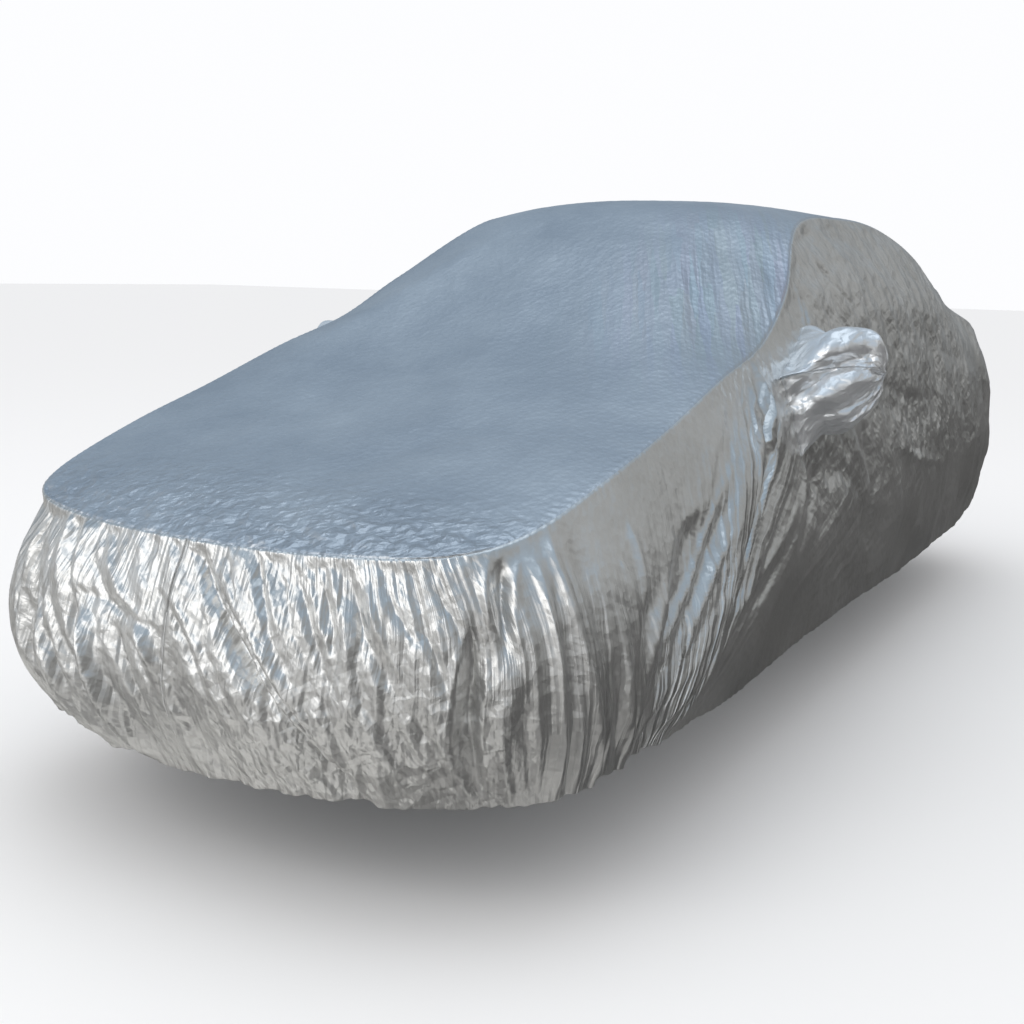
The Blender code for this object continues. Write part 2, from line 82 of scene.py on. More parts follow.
Section = namedtuple("Section", "name seam belt waist hem ridge crown")
outline = [
    Section("frontMid", (0.00, -2.09, 0.735), (0.00, -2.15, 0.60),
            (0.00, -2.165, 0.42), (0.00, -2.09, 0.24), None, None),
    Section("frontQuarter", (0.32, -2.06, 0.738), (0.36, -2.12, 0.60),
            (0.36, -2.13, 0.42), (0.34, -2.05, 0.245), None, None),
    Section("frontCorner", (0.545, -1.985, 0.75), (0.63, -2.01, 0.60),
            (0.65, -2.02, 0.42), (0.62, -1.96, 0.26), (-2.09, 0.735), 3.0),
    Section("cornerSide", (0.65, -1.85, 0.785), (0.745, -1.87, 0.62),
            (0.785, -1.87, 0.44), (0.765, -1.85, 0.29), (-1.95, 0.785), 3.0),
    Section("fender", (0.685, -1.58, 0.862), (0.79, -1.60, 0.67),
            (0.825, -1.60, 0.46), (0.80, -1.60, 0.305), (-1.62, 0.865), 3.0),
    Section("frontWheel", (0.69, -1.30, 0.935), (0.80, -1.30, 0.73),
            (0.84, -1.28, 0.50), (0.81, -1.26, 0.29), (-1.28, 0.955), 3.0),
    Section("fenderBack", (0.69, -1.00, 1.025), (0.80, -1.00, 0.80),
            (0.84, -0.98, 0.52), (0.81, -0.95, 0.29), (-0.93, 1.08), 3.0),
    Section("mirrorFront", (0.69, -0.72, 1.10), (0.785, -0.70, 0.90),
            (0.84, -0.68, 0.58), (0.81, -0.66, 0.30), (-0.60, 1.25), 2.8),
    Section("mirrorBack", (0.66, -0.46, 1.235), (0.77, -0.44, 1.00),
            (0.84, -0.42, 0.60), (0.81, -0.40, 0.30), (-0.36, 1.39), 2.4),
    Section("roofFront", (0.57, -0.12, 1.43), (0.74, -0.05, 1.12),
            (0.845, 0.00, 0.64), (0.815, 0.00, 0.30), (-0.10, 1.50), 2.4),
    Section("roofMid", (0.565, 0.35, 1.465), (0.75, 0.38, 1.14),
            (0.85, 0.40, 0.65), (0.815, 0.40, 0.29), (0.35, 1.512), 2.4),
    Section("roofBack", (0.575, 0.80, 1.445), (0.75, 0.85, 1.14),
            (0.85, 0.90, 0.65), (0.815, 0.90, 0.29), (0.82, 1.495), 2.4),
    Section("backPillar", (0.61, 1.20, 1.355), (0.76, 1.25, 1.08),
            (0.85, 1.28, 0.64), (0.815, 1.28, 0.30), (1.18, 1.40), 2.6),
    Section("backShelf", (0.65, 1.60, 1.185), (0.77, 1.62, 0.98),
            (0.84, 1.62, 0.62), (0.80, 1.62, 0.30), (1.58, 1.25), 3.0),
    Section("bootSide", (0.70, 1.94, 1.09), (0.775, 1.97, 0.90),
            (0.80, 1.98, 0.60), (0.77, 1.96, 0.33), (1.95, 1.13), 3.0),
    Section("backCorner", (0.60, 2.13, 1.03), (0.66, 2.18, 0.86),
            (0.69, 2.22, 0.60), (0.66, 2.16, 0.33), (2.22, 1.04), 3.0),
    Section("backQuarter", (0.34, 2.20, 1.035), (0.35, 2.26, 0.86),
            (0.36, 2.30, 0.58), (0.35, 2.24, 0.33), None, None),
    Section("backMid", (0.00, 2.22, 1.04), (0.00, 2.29, 0.86),
            (0.00, 2.33, 0.58), (0.00, 2.27, 0.33), None, None),
]
number = {section.name: index for index, section in enumerate(outline)}


def unit(vectors):
    return vectors / np.maximum(np.linalg.norm(vectors, axis=-1, keepdims=True), 1e-9)


def ease(u):
    u = np.clip(u, 0, 1)
    return u * u * (3 - 2 * u)


def hump(values, middle, width):
    return np.exp(-((values - middle) / width) ** 2)


def curve(a, b, c, d, u):       # from b to c, Catmull-Rom
    square = 2 * a - 5 * b + 4 * c - d
    cube = 3 * b - a - 3 * c + d
    return 0.5 * (2 * b + (c - a) * u + square * u ** 2 + cube * u ** 3)


def throughPoints(knots, at):
    knots = np.asarray(knots, float)
    knots = np.vstack([2 * knots[0] - knots[1], knots, 2 * knots[-1] - knots[-2]])
    at = np.clip(np.asarray(at, float), 0, len(knots) - 3)
    first = np.minimum(at.astype(int), len(knots) - 4)
    u = (at - first)[..., None]
    return curve(*(knots[first + step] for step in range(4)), u)


def ringAt(column, at):
    half = np.array([getattr(section, column) for section in outline])
    closed = np.vstack([half[1] * mirrorX, half, half[-2] * mirrorX])
    return throughPoints(closed, np.asarray(at, float) + 1)


def ridgeAt(at):
    first, last = number["frontCorner"], number["backCorner"]
    line = [(0.0,) + section.ridge + (section.crown,) for section in outline[first:last + 1]]
    values = throughPoints(line, np.asarray(at, float) - first)
    return values[..., :3], values[..., 3:]


def runLength(points):       # metres from the first point to each
    return np.concatenate([[0], np.cumsum(np.linalg.norm(np.diff(points, axis=0), axis=1))])


fineNumbers = np.linspace(0, len(outline) - 1, 800)
fineMetres = runLength(ringAt("waist", fineNumbers))


def metresAround(at):
    return np.interp(at, fineNumbers, fineMetres)


def numberAt(metres):
    return np.interp(metres, fineMetres, fineNumbers)


def gridNormals(grid):
    return unit(np.cross(np.gradient(grid, axis=0), np.gradient(grid, axis=1)))


def heldUp(grid):       # the right side stands higher over the bonnet and further in at the roof
    right = ease((-grid[..., 0] - 0.25) / 0.3)
    high = ease((grid[..., 2] - 0.6) / 0.25)
    grid = grid.copy()
    grid[..., 2] += 0.022 * right * hump(grid[..., 1], -1.0, 0.70) * high
    grid[..., 0] += 0.030 * right * hump(grid[..., 1], -0.18, 0.22) * high
    return grid


# folds and creases
Fold = namedtuple("Fold", "start middle end width depth")


def gradientNoise(x, y, seed):
    angles = np.random.default_rng(seed).random((128, 128)) * 2 * math.pi
    left, low = np.floor(x).astype(int), np.floor(y).astype(int)
    u, v = x - left, y - low

    def corner(i, j):
        angle = angles[(left + i) % 128, (low + j) % 128]
        return np.cos(angle) * (u - i) + np.sin(angle) * (v - j)

    blendU, blendV = ease(u), ease(v)
    near = corner(0, 0) * (1 - blendU) + corner(1, 0) * blendU
    far = corner(0, 1) * (1 - blendU) + corner(1, 1) * blendU
    return (near * (1 - blendV) + far * blendV) * 1.4


def facetNoise(x, y, seed):       # flat triangles that meet at sharp creases
    heights = np.random.default_rng(seed).random((128, 128)) * 2 - 1
    left, low = np.floor(x).astype(int), np.floor(y).astype(int)
    u, v = x - left, y - low
    a, b, c, d = (heights[(left + i) % 128, (low + j) % 128] for i, j in ((0, 0), (1, 0), (0, 1), (1, 1)))
    lower = a * (1 - u - v) + b * u + c * v
    upper = d * (u + v - 1) + c * (1 - u) + b * (1 - v)
    return np.where(u + v < 1, lower, upper)


def crushed(x, y, seed, octaves=3, turning=0.9, warp=0.55):       # film that is crushed into flat facets
    total, size = 0, 1.0
    for octave in range(octaves):
        turn = turning * octave
        along = (x * math.cos(turn) - y * math.sin(turn)) / size + 17.3 * octave
        across = (x * math.sin(turn) + y * math.cos(turn)) / size + 9.1 * octave
        warpX = warp * facetNoise(along * 0.7 + 3.1, across * 0.7, seed + 40 + octave)
        warpY = warp * facetNoise(along * 0.6, across * 0.8 + 5.7, seed + 60 + octave)
        total = total + size * facetNoise(along + warpX, across + warpY, seed + octave)
        size *= 0.5
    return total


def stitchWaves(along, pitch, wander, seed):       # the film puckers between the stitches of a seam
    return np.sin(2 * np.pi * (along / pitch + gradientNoise(along / wander, 0.5, seed)))


def foldRelief(places, folds, sharpness=0.0):
    total = np.zeros(places.shape[:-1])
    share = np.linspace(0, 1, 13)[:, None]
    for fold in folds:
        start, middle, end = (np.array(point, float) for point in (fold.start, fold.middle, fold.end))
        bend = 2 * middle - (start + end) / 2
        path = (1 - share) ** 2 * start + 2 * share * (1 - share) * bend + share ** 2 * end
        margin = 3 * fold.width
        inside = ((places > path.min(0) - margin) & (places < path.max(0) + margin)).all(-1)
        if not inside.any():
            continue
        points = places[inside]
        nearest = np.full(len(points), 9.0)
        along = np.zeros(len(points))
        for index, (a, b) in enumerate(zip(path, path[1:])):
            u = np.clip((points - a) @ (b - a) / ((b - a) @ (b - a)), 0, 1)
            distance = np.linalg.norm(points - a - u[:, None] * (b - a), axis=-1)
            along = np.where(distance < nearest, (index + u) / (len(path) - 1), along)
            nearest = np.minimum(nearest, distance)
        swell = (0.45 + 0.55 * np.sin(np.pi * along)) * (0.25 + 0.75 * ease(along / 0.25))
        soft = np.exp(-(nearest / fold.width) ** 2)
        tent = np.exp(-1.5 * (np.sqrt((nearest / fold.width) ** 2 + 0.12) - 0.35))
        tent *= ease((margin - nearest) / fold.width)
        total[inside] += fold.depth * swell * (soft * (1 - sharpness) + tent * sharpness)
    return total


# A place on a side panel is (around, height): metres along the waist from the
# middle of the front, the left side positive, and metres above the ground.
skirtFolds = {
    "front": [
        Fold((0.02, 0.74), (0.20, 0.53), (0.44, 0.22), 0.036, -0.024),
        Fold((0.10, 0.73), (0.26, 0.54), (0.50, 0.25), 0.032, 0.012),
        Fold((0.31, 0.74), (0.34, 0.66), (0.40, 0.55), 0.030, -0.012),
        Fold((0.42, 0.74), (0.44, 0.66), (0.48, 0.56), 0.030, -0.012),
        Fold((0.55, 0.63), (0.60, 0.53), (0.62, 0.42), 0.035, 0.016),
        Fold((0.73, 0.65), (0.66, 0.48), (0.70, 0.20), 0.034, -0.026),
        Fold((0.52, 0.40), (0.56, 0.31), (0.62, 0.20), 0.035, 0.012),
        Fold((0.80, 0.76), (0.77, 0.67), (0.73, 0.57), 0.020, -0.014),
        Fold((-0.10, 0.60), (-0.02, 0.47), (0.05, 0.22), 0.034, 0.015),
        Fold((-0.05, 0.56), (0.03, 0.44), (0.11, 0.22), 0.030, -0.012),
        Fold((-0.24, 0.57), (-0.18, 0.46), (-0.08, 0.20), 0.034, 0.017),
        Fold((-0.30, 0.62), (-0.26, 0.46), (-0.18, 0.22), 0.030, -0.014),
        Fold((-0.42, 0.56), (-0.35, 0.40), (-0.28, 0.22), 0.034, 0.014),
        Fold((-0.52, 0.70), (-0.47, 0.52), (-0.42, 0.30), 0.034, -0.014),
        Fold((-0.66, 0.70), (-0.60, 0.50), (-0.55, 0.22), 0.040, 0.014),
        Fold((-0.80, 0.74), (-0.76, 0.52), (-0.70, 0.20), 0.040, -0.018),
    ],
    "sides": [
        Fold((0.86, 0.76), (0.85, 0.58), (0.82, 0.20), 0.026, 0.016),
        Fold((0.90, 0.66), (0.88, 0.50), (0.86, 0.20), 0.024, -0.014),
        Fold((0.93, 0.80), (0.925, 0.60), (0.93, 0.20), 0.026, 0.016),
        Fold((0.975, 0.78), (0.975, 0.58), (0.99, 0.20), 0.026, -0.024),
        Fold((1.05, 0.64), (1.03, 0.50), (1.04, 0.20), 0.030, 0.016),
        Fold((1.18, 0.80), (1.14, 0.62), (1.10, 0.40), 0.036, 0.008),
        Fold((1.16, 0.66), (1.10, 0.50), (1.08, 0.22), 0.020, -0.018),
        Fold((1.24, 0.66), (1.15, 0.50), (1.11, 0.22), 0.018, 0.016),
        Fold((1.32, 0.64), (1.20, 0.48), (1.14, 0.22), 0.020, -0.020),
        Fold((1.50, 0.74), (1.28, 0.62), (1.13, 0.20), 0.055, -0.032),
        Fold((1.90, 0.91), (1.52, 0.67), (1.17, 0.24), 0.050, 0.040),
        Fold((2.02, 0.82), (1.72, 0.60), (1.34, 0.24), 0.055, -0.016),
        Fold((2.10, 0.72), (1.84, 0.54), (1.56, 0.26), 0.070, 0.012),
        Fold((2.02, 1.02), (1.96, 0.92), (1.88, 0.82), 0.050, 0.012),
        Fold((2.50, 0.78), (2.36, 0.66), (2.10, 0.50), 0.070, 0.012),
        Fold((2.62, 0.86), (2.68, 0.66), (2.62, 0.42), 0.080, -0.014),
        Fold((2.80, 0.94), (3.20, 0.84), (3.70, 0.80), 0.080, -0.010),
        Fold((3.20, 0.74), (3.24, 0.56), (3.20, 0.20), 0.090, 0.012),
        Fold((3.75, 0.80), (3.80, 0.58), (3.72, 0.20), 0.090, -0.014),
        Fold((4.10, 1.00), (4.16, 0.66), (4.10, 0.20), 0.080, 0.016),
        Fold((4.42, 0.96), (4.46, 0.64), (4.42, 0.20), 0.080, -0.016),
        Fold((4.72, 0.96), (4.76, 0.62), (4.72, 0.24), 0.070, 0.016),
        Fold((4.96, 0.94), (5.02, 0.62), (4.98, 0.24), 0.060, -0.016),
        Fold((5.26, 0.96), (5.28, 0.66), (5.24, 0.24), 0.070, 0.014),
        Fold((5.52, 0.94), (5.50, 0.66), (5.54, 0.24), 0.070, -0.012),
    ],
    "frontCreases": [
        Fold((0.03, 0.735), (0.165, 0.57), (0.43, 0.24), 0.016, -0.016),
        Fold((0.060, 0.735), (0.197, 0.565), (0.460, 0.25), 0.015, 0.014),
        Fold((0.09, 0.69), (0.223, 0.55), (0.41, 0.31), 0.011, -0.011),
        Fold((0.115, 0.68), (0.248, 0.545), (0.43, 0.31), 0.012, 0.009),
        Fold((0.15, 0.61), (0.26, 0.50), (0.36, 0.38), 0.009, -0.005),
        Fold((0.20, 0.725), (0.235, 0.64), (0.27, 0.56), 0.011, -0.009),
        Fold((0.225, 0.725), (0.257, 0.64), (0.29, 0.56), 0.010, 0.006),
        Fold((0.255, 0.72), (0.285, 0.65), (0.31, 0.59), 0.010, -0.006),
        Fold((0.30, 0.72), (0.33, 0.64), (0.38, 0.52), 0.012, -0.010),
        Fold((0.325, 0.72), (0.352, 0.64), (0.40, 0.53), 0.010, 0.007),
        Fold((0.36, 0.70), (0.38, 0.64), (0.41, 0.58), 0.010, -0.006),
        Fold((0.445, 0.71), (0.45, 0.63), (0.50, 0.53), 0.016, -0.011),
        Fold((0.475, 0.71), (0.48, 0.63), (0.525, 0.54), 0.011, 0.008),
        Fold((0.515, 0.70), (0.53, 0.65), (0.56, 0.60), 0.010, -0.006),
        Fold((0.565, 0.64), (0.597, 0.57), (0.62, 0.50), 0.012, -0.009),
        Fold((0.635, 0.70), (0.64, 0.66), (0.655, 0.61), 0.010, -0.006),
        Fold((0.70, 0.665), (0.655, 0.50), (0.685, 0.25), 0.017, -0.014),
        Fold((0.675, 0.64), (0.622, 0.48), (0.645, 0.30), 0.013, 0.011),
        Fold((0.81, 0.75), (0.765, 0.68), (0.735, 0.59), 0.012, -0.012),
        Fold((0.835, 0.74), (0.79, 0.68), (0.765, 0.60), 0.010, 0.007),
        Fold((0.775, 0.75), (0.735, 0.69), (0.71, 0.62), 0.010, 0.007),
        Fold((0.50, 0.46), (0.56, 0.37), (0.60, 0.25), 0.012, -0.007),
        Fold((0.42, 0.50), (0.49, 0.40), (0.55, 0.24), 0.012, 0.007),
        Fold((0.30, 0.36), (0.33, 0.31), (0.39, 0.24), 0.011, -0.006),
        Fold((0.72, 0.52), (0.72, 0.40), (0.745, 0.25), 0.012, 0.009),
        Fold((0.77, 0.54), (0.765, 0.42), (0.785, 0.27), 0.012, -0.009),
        Fold((-0.05, 0.735), (0.00, 0.70), (0.03, 0.66), 0.010, -0.006),
        Fold((-0.05, 0.63), (0.045, 0.56), (0.14, 0.38), 0.011, -0.008),
        Fold((-0.03, 0.64), (0.065, 0.565), (0.16, 0.40), 0.010, 0.006),
        Fold((-0.08, 0.565), (-0.01, 0.48), (0.045, 0.35), 0.012, 0.009),
        Fold((-0.10, 0.55), (-0.035, 0.46), (0.02, 0.33), 0.011, -0.008),
        Fold((-0.15, 0.57), (-0.09, 0.45), (-0.03, 0.28), 0.012, -0.008),
        Fold((-0.23, 0.575), (-0.17, 0.43), (-0.10, 0.26), 0.013, 0.011),
        Fold((-0.255, 0.57), (-0.20, 0.42), (-0.13, 0.25), 0.012, -0.010),
        Fold((-0.32, 0.56), (-0.26, 0.42), (-0.19, 0.26), 0.012, 0.008),
        Fold((-0.38, 0.54), (-0.335, 0.41), (-0.29, 0.27), 0.012, -0.010),
        Fold((-0.42, 0.50), (-0.38, 0.38), (-0.34, 0.28), 0.012, 0.008),
        Fold((-0.50, 0.66), (-0.465, 0.50), (-0.42, 0.30), 0.013, -0.010),
        Fold((-0.57, 0.70), (-0.53, 0.56), (-0.50, 0.40), 0.012, 0.008),
        Fold((-0.28, 0.60), (-0.15, 0.585), (-0.02, 0.555), 0.014, -0.005),
        Fold((-0.22, 0.70), (-0.16, 0.63), (-0.06, 0.575), 0.012, 0.006),
        Fold((-0.26, 0.68), (-0.19, 0.61), (-0.10, 0.56), 0.011, -0.006),
    ],
    "sideCreases": [
        Fold((0.872, 0.74), (0.842, 0.58), (0.838, 0.25), 0.011, 0.010),
        Fold((0.895, 0.72), (0.862, 0.56), (0.858, 0.26), 0.011, -0.010),
        Fold((0.885, 0.50), (0.882, 0.38), (0.885, 0.26), 0.009, 0.007),
        Fold((0.915, 0.79), (0.906, 0.60), (0.935, 0.27), 0.012, 0.012),
        Fold((0.940, 0.79), (0.930, 0.60), (0.965, 0.27), 0.012, -0.014),
        Fold((0.965, 0.60), (0.975, 0.44), (0.995, 0.28), 0.010, 0.008),
        Fold((0.995, 0.58), (1.005, 0.43), (1.022, 0.28), 0.010, -0.009),
        Fold((1.028, 0.56), (1.030, 0.42), (1.045, 0.28), 0.010, 0.008),
        Fold((1.06, 0.54), (1.055, 0.42), (1.068, 0.28), 0.010, -0.008),
        Fold((1.07, 0.73), (1.09, 0.65), (1.08, 0.56), 0.010, 0.007),
        Fold((1.095, 0.72), (1.108, 0.65), (1.10, 0.57), 0.010, -0.004),
        Fold((1.15, 0.785), (1.135, 0.69), (1.11, 0.60), 0.010, 0.007),
        Fold((1.175, 0.77), (1.158, 0.69), (1.13, 0.60), 0.009, -0.004),
        Fold((1.54, 0.78), (1.29, 0.71), (1.12, 0.50), 0.026, 0.008),
        Fold((1.20, 0.64), (1.105, 0.50), (1.06, 0.30), 0.016, 0.012),
        Fold((1.22, 0.60), (1.145, 0.48), (1.10, 0.30), 0.016, -0.010),
        Fold((1.64, 0.83), (1.34, 0.635), (1.10, 0.34), 0.012, 0.010),
        Fold((1.62, 0.79), (1.36, 0.615), (1.12, 0.33), 0.010, -0.007),
        Fold((1.58, 0.72), (1.36, 0.585), (1.15, 0.33), 0.009, 0.007),
        Fold((1.98, 0.95), (1.53, 0.625), (1.13, 0.29), 0.022, 0.014),
        Fold((2.00, 0.93), (1.575, 0.625), (1.16, 0.29), 0.017, -0.012),
        Fold((2.02, 0.92), (1.61, 0.625), (1.19, 0.30), 0.017, 0.010),
        Fold((2.03, 0.88), (1.66, 0.605), (1.22, 0.31), 0.018, -0.011),
        Fold((2.05, 0.84), (1.72, 0.60), (1.26, 0.32), 0.018, 0.009),
        Fold((2.06, 0.74), (1.80, 0.605), (1.50, 0.50), 0.014, 0.008),
        Fold((2.10, 0.72), (1.84, 0.575), (1.46, 0.42), 0.014, -0.007),
        Fold((2.00, 1.08), (1.94, 0.93), (1.82, 0.79), 0.016, 0.012),
        Fold((1.97, 1.07), (1.905, 0.94), (1.79, 0.80), 0.012, -0.010),
        Fold((1.90, 1.03), (1.83, 0.91), (1.74, 0.79), 0.008, -0.006),
        Fold((1.86, 1.01), (1.79, 0.90), (1.71, 0.80), 0.008, -0.005),
        Fold((2.12, 0.82), (2.05, 0.72), (1.95, 0.62), 0.016, 0.010),
        Fold((2.22, 0.80), (2.12, 0.68), (2.00, 0.58), 0.016, -0.008),
        Fold((2.48, 1.25), (2.44, 1.18), (2.37, 1.10), 0.010, -0.008),
        Fold((2.45, 1.27), (2.41, 1.19), (2.33, 1.11), 0.009, 0.006),
        Fold((2.72, 1.34), (2.76, 1.27), (2.84, 1.20), 0.010, -0.007),
        Fold((2.66, 0.92), (2.70, 0.72), (2.66, 0.50), 0.018, -0.008),
        Fold((2.86, 0.98), (3.16, 0.90), (3.60, 0.86), 0.018, -0.005),
        Fold((2.90, 0.78), (3.24, 0.68), (3.70, 0.62), 0.018, 0.005),
        Fold((4.02, 0.90), (4.06, 0.66), (4.00, 0.34), 0.018, -0.010),
        Fold((4.24, 0.95), (4.30, 0.66), (4.26, 0.34), 0.018, 0.010),
        Fold((4.56, 0.92), (4.62, 0.64), (4.58, 0.36), 0.018, -0.010),
        Fold((4.86, 0.90), (4.90, 0.62), (4.88, 0.36), 0.016, 0.010),
        Fold((5.12, 0.90), (5.14, 0.64), (5.10, 0.36), 0.016, -0.010),
        Fold((5.40, 0.90), (5.38, 0.64), (5.42, 0.36), 0.016, 0.008),
    ],
}

sideFilm = {
    "columnSteps": [(0.00, 1.20, 0.0052), (1.20, 2.60, 0.0063), (2.60, 4.10, 0.0095), (4.10, 5.74, 0.0150)],
    "rows": 118,               # the steps above are from, to and spacing, in metres around
    "broadShare": 0.80,        # how much of the folds and of the creases is kept
    "creaseShare": 1.2,
    "broadSharpness": 0.7,
    "seamDepth": 0.0025,
    "edgeGap": 0.0004,
    "hemRoll": 0.0025,
    "hemTurnUp": 0.022,
    "rightShift": 0.05,
    "rightStrength": 0.85,
    "seamPucker": 0.0007,
    "pucker": 0.0032,          # height of the gathers that the elastic makes in the hem
    "widePucker": 0.0025,
    "hole": ("mirrorFront", "mirrorBack", 0.165, 0.43),
}


def sideSurface(numbers, down):
    levels = np.stack([ringAt(column, numbers) for column in ("seam", "belt", "waist", "hem")])
    levels = np.concatenate([(levels[0] + (levels[0] - levels[1]) * 0.6)[None], levels,
                             (levels[3] + (levels[3] - levels[2]) * 0.8)[None]])
    at = np.clip(down * 3, 0, 3)
    first = np.minimum(at.astype(int), 2)
    u = (at - first)[..., None]
    column = np.arange(levels.shape[1])[:, None]
    return curve(*(levels[first + step, column] for step in range(4)), u)


def seamInward(at):
    ahead = ringAt("waist", np.minimum(at + 0.02, len(outline) - 1))
    behind = ringAt("waist", np.maximum(at - 0.02, 0))
    along = ahead - behind
    outward = unit(np.stack([along[..., 1], -along[..., 0], np.zeros_like(along[..., 0])], -1))
    return -unit(outward + np.array([0, 0, 0.9]))


crumpleDepth = {       # metres, for the film that is crushed between the folds
    "nosePleats": 0.0095,
    "noseFacets": 0.0040,
    "lowNoseFacets": 0.0085,
    "farNose": 0.0130,
    "lowFarNose": 0.0080,
    "corner": 0.0070,
    "sweep": 0.0070,
    "besidePocket": 0.0055,
    "quarter": 0.0080,
    "belowPocket": 0.0120,
    "allOver": 0.0012,
    "behindWheel": 0.0058,
    "cabin": 0.0060,
}
fanPlace = (1.08, 0.08)       # the folds of the side fan out from here


def acrossSweep(side, h):       # metres across the folds that sweep down the side
    return 0.58 * (side - 1.55) - 0.81 * (h - 0.63)


def sideCrumple(a, h):
    depth = crumpleDepth
    side = np.abs(a)
    upperNose = hump(a, 0.36, 0.40) * ease((h - 0.46) / 0.12)
    lowerNose = ease((0.92 - side) / 0.2) * ease((0.56 - h) / 0.12)
    lowerMiddle = lowerNose * ease((a + 0.05) / 0.25)
    lean = np.interp(a, (-0.6, 0.1, 0.45, 0.8), (0.42, 0.42, 0.05, -0.15))
    fallLine = a - lean * (0.74 - h)
    pleats = crushed(fallLine / 0.034, h / 0.13, 3, 2, 0.06, 0.35)
    pleats = pleats * depth["nosePleats"] * (upperNose + 0.25 * lowerNose)
    facets = crushed(fallLine / 0.042, h / 0.100, 7)
    facets = facets * (depth["noseFacets"] * upperNose + depth["lowNoseFacets"] * lowerMiddle)
    slant, along = 0.83 * a + 0.55 * h, 0.55 * a - 0.83 * h
    slanted = crushed(slant / 0.040, along / 0.40, 11, 2, 0.03, 0.2) * hump(a, -0.36, 0.34)
    slanted = slanted * (depth["farNose"] + depth["lowFarNose"] * ease((0.58 - h) / 0.1))
    cornerFan = hump(side, 0.93, 0.18) * ease((0.72 - h) / 0.15)
    cornerPleats = crushed((side - 0.06 * h) / 0.024, h / 0.75, 13, 2, 0.03, 0.2)
    cornerPleats = cornerPleats * depth["corner"] * cornerFan
    sweep = acrossSweep(side, h)
    sweepZone = hump(sweep, 0.0, 0.15) * ease((h - 0.28) / 0.1) * ease((1.02 - h) / 0.1)
    sweepZone = sweepZone * ease((side - 1.08) / 0.1)
    sweepPleats = crushed(sweep / 0.022, (0.81 * side + 0.58 * h) / 0.50, 19, 2, 0.04, 0.3)
    sweepPleats = sweepPleats * depth["sweep"] * sweepZone
    besidePocket = hump(side - 0.35 * (h - 0.95), 1.93, 0.12) * ease((h - 0.78) / 0.1)
    besidePleats = crushed((side - 0.35 * h) / 0.021, h / 0.40, 37, 2, 0.04, 0.3)
    besidePleats = besidePleats * depth["besidePocket"] * besidePocket
    quarter = hump(side, 3.40, 0.62) * hump(h, 0.80, 0.18)
    belowPocket = hump(side, 2.25, 0.20) * hump(h, 0.74, 0.10)
    slack = crushed((side - 0.6 * h) / 0.050, (h + 0.4 * side) / 0.075, 17) * depth["quarter"] * quarter
    hanging = crushed((side + 0.5 * h) / 0.075, (h - 0.5 * side) / 0.14, 43, 2)
    slack = slack + hanging * depth["belowPocket"] * belowPocket
    behindWheel = ease((side - 2.0) / 0.4)
    calm = crushed(a / 0.16, h / 0.11, 23) * (depth["allOver"] + depth["behindWheel"] * behindWheel)
    calm = calm * ease((side - 0.8) / 0.3)
    cabin = crushed(a / 0.080, h / 0.200, 29) * depth["cabin"]
    cabin = cabin * ease((side - 2.35) / 0.3) * ease((h - 0.95) / 0.15)
    return pleats + facets + slanted + cornerPleats + sweepPleats + besidePleats + slack + calm + cabin


def filmFlow(a, h):       # how the film falls, and how much it is wrinkled, for the material
    side = np.abs(a)
    fanAround, fanHeight = fanPlace
    lean = np.interp(a, (-0.9, -0.6, 0.1, 0.45, 0.8, 0.9), (0, 0.42, 0.42, 0.05, -0.15, 0))
    fall = a - lean * (0.74 - h)
    past = np.maximum(side - fanAround, 0)
    turn = np.arctan2(past, np.maximum(h - fanHeight, 0.05))
    fanned = np.sign(a) * (fanAround - 0.06 * h + 0.6 * turn)
    fan = np.where(side < fanAround, a - 0.06 * h * np.sign(a), fanned)
    distance = np.hypot(past, h - fanHeight)
    front = ease((0.86 - side) / 0.2)
    low = ease((0.56 - h) / 0.12) * ease((a + 0.05) / 0.25)
    belowPocket = hump(side, 2.25, 0.22) * hump(h, 0.76, 0.12)
    quarter = hump(side, 3.40, 0.70) * hump(h, 0.80, 0.20)
    cabin = ease((side - 2.35) / 0.3) * ease((h - 0.92) / 0.15)
    wrinkled = 0.22 + (0.25 + 0.50 * low) * front + 0.5 * belowPocket + 0.5 * quarter
    wrinkled = wrinkled + 0.12 * ease((side - 2.0) / 0.4)
    wrinkled = (wrinkled + 0.20 * cabin) * (1 - 0.45 * ease((side - 4.2) / 0.5))
    wrinkled = wrinkled * (1 - 0.8 * hump(side, 0.97, 0.16))
    corner = hump(side, 0.95, 0.17) * ease((0.76 - h) / 0.12)
    sweep = hump(acrossSweep(side, h), 0.0, 0.13) * ease((1.02 - h) / 0.1) * ease((side - 1.08) / 0.1)
    beside = hump(side - 0.35 * (h - 0.95), 1.93, 0.11) * ease((h - 0.78) / 0.1)
    door = ease((side - 1.9) / 0.3) * ease((3.1 - side) / 0.6) * ease((0.80 - h) / 0.2)
    pleated = 0.6 * front * (1 - 0.4 * low) + corner + 1.4 * sweep + 0.8 * beside + 0.5 * door
    pleated = pleated + 0.20 * ease((side - 1.0) / 0.3) * ease((3.6 - side) / 0.8)
    flow = {"fall": np.stack([fall, h], -1), "fan": np.stack([fan, distance], -1)}
    return {**flow, "wrinkled": wrinkled, "pleated": pleated}


def hemGathers(a, h, hemHeight):
    near = np.exp(-np.maximum(h - hemHeight, 0) / 0.055)
    phase = a / 0.046 + 1.3 * gradientNoise(a / 0.16, 2.5, 31)
    waves = np.sin(2 * np.pi * phase) * (0.6 + 0.5 * gradientNoise(a / 0.21, 7.5, 37))
    wide = np.sin(2 * np.pi * (a / 0.13 + gradientNoise(a / 0.4, 4.5, 41)))
    fading = 1 - 0.6 * ease((np.abs(a) - 1.1) / 0.3)
    return near * (sideFilm["pucker"] * waves + sideFilm["widePucker"] * wide) * fading


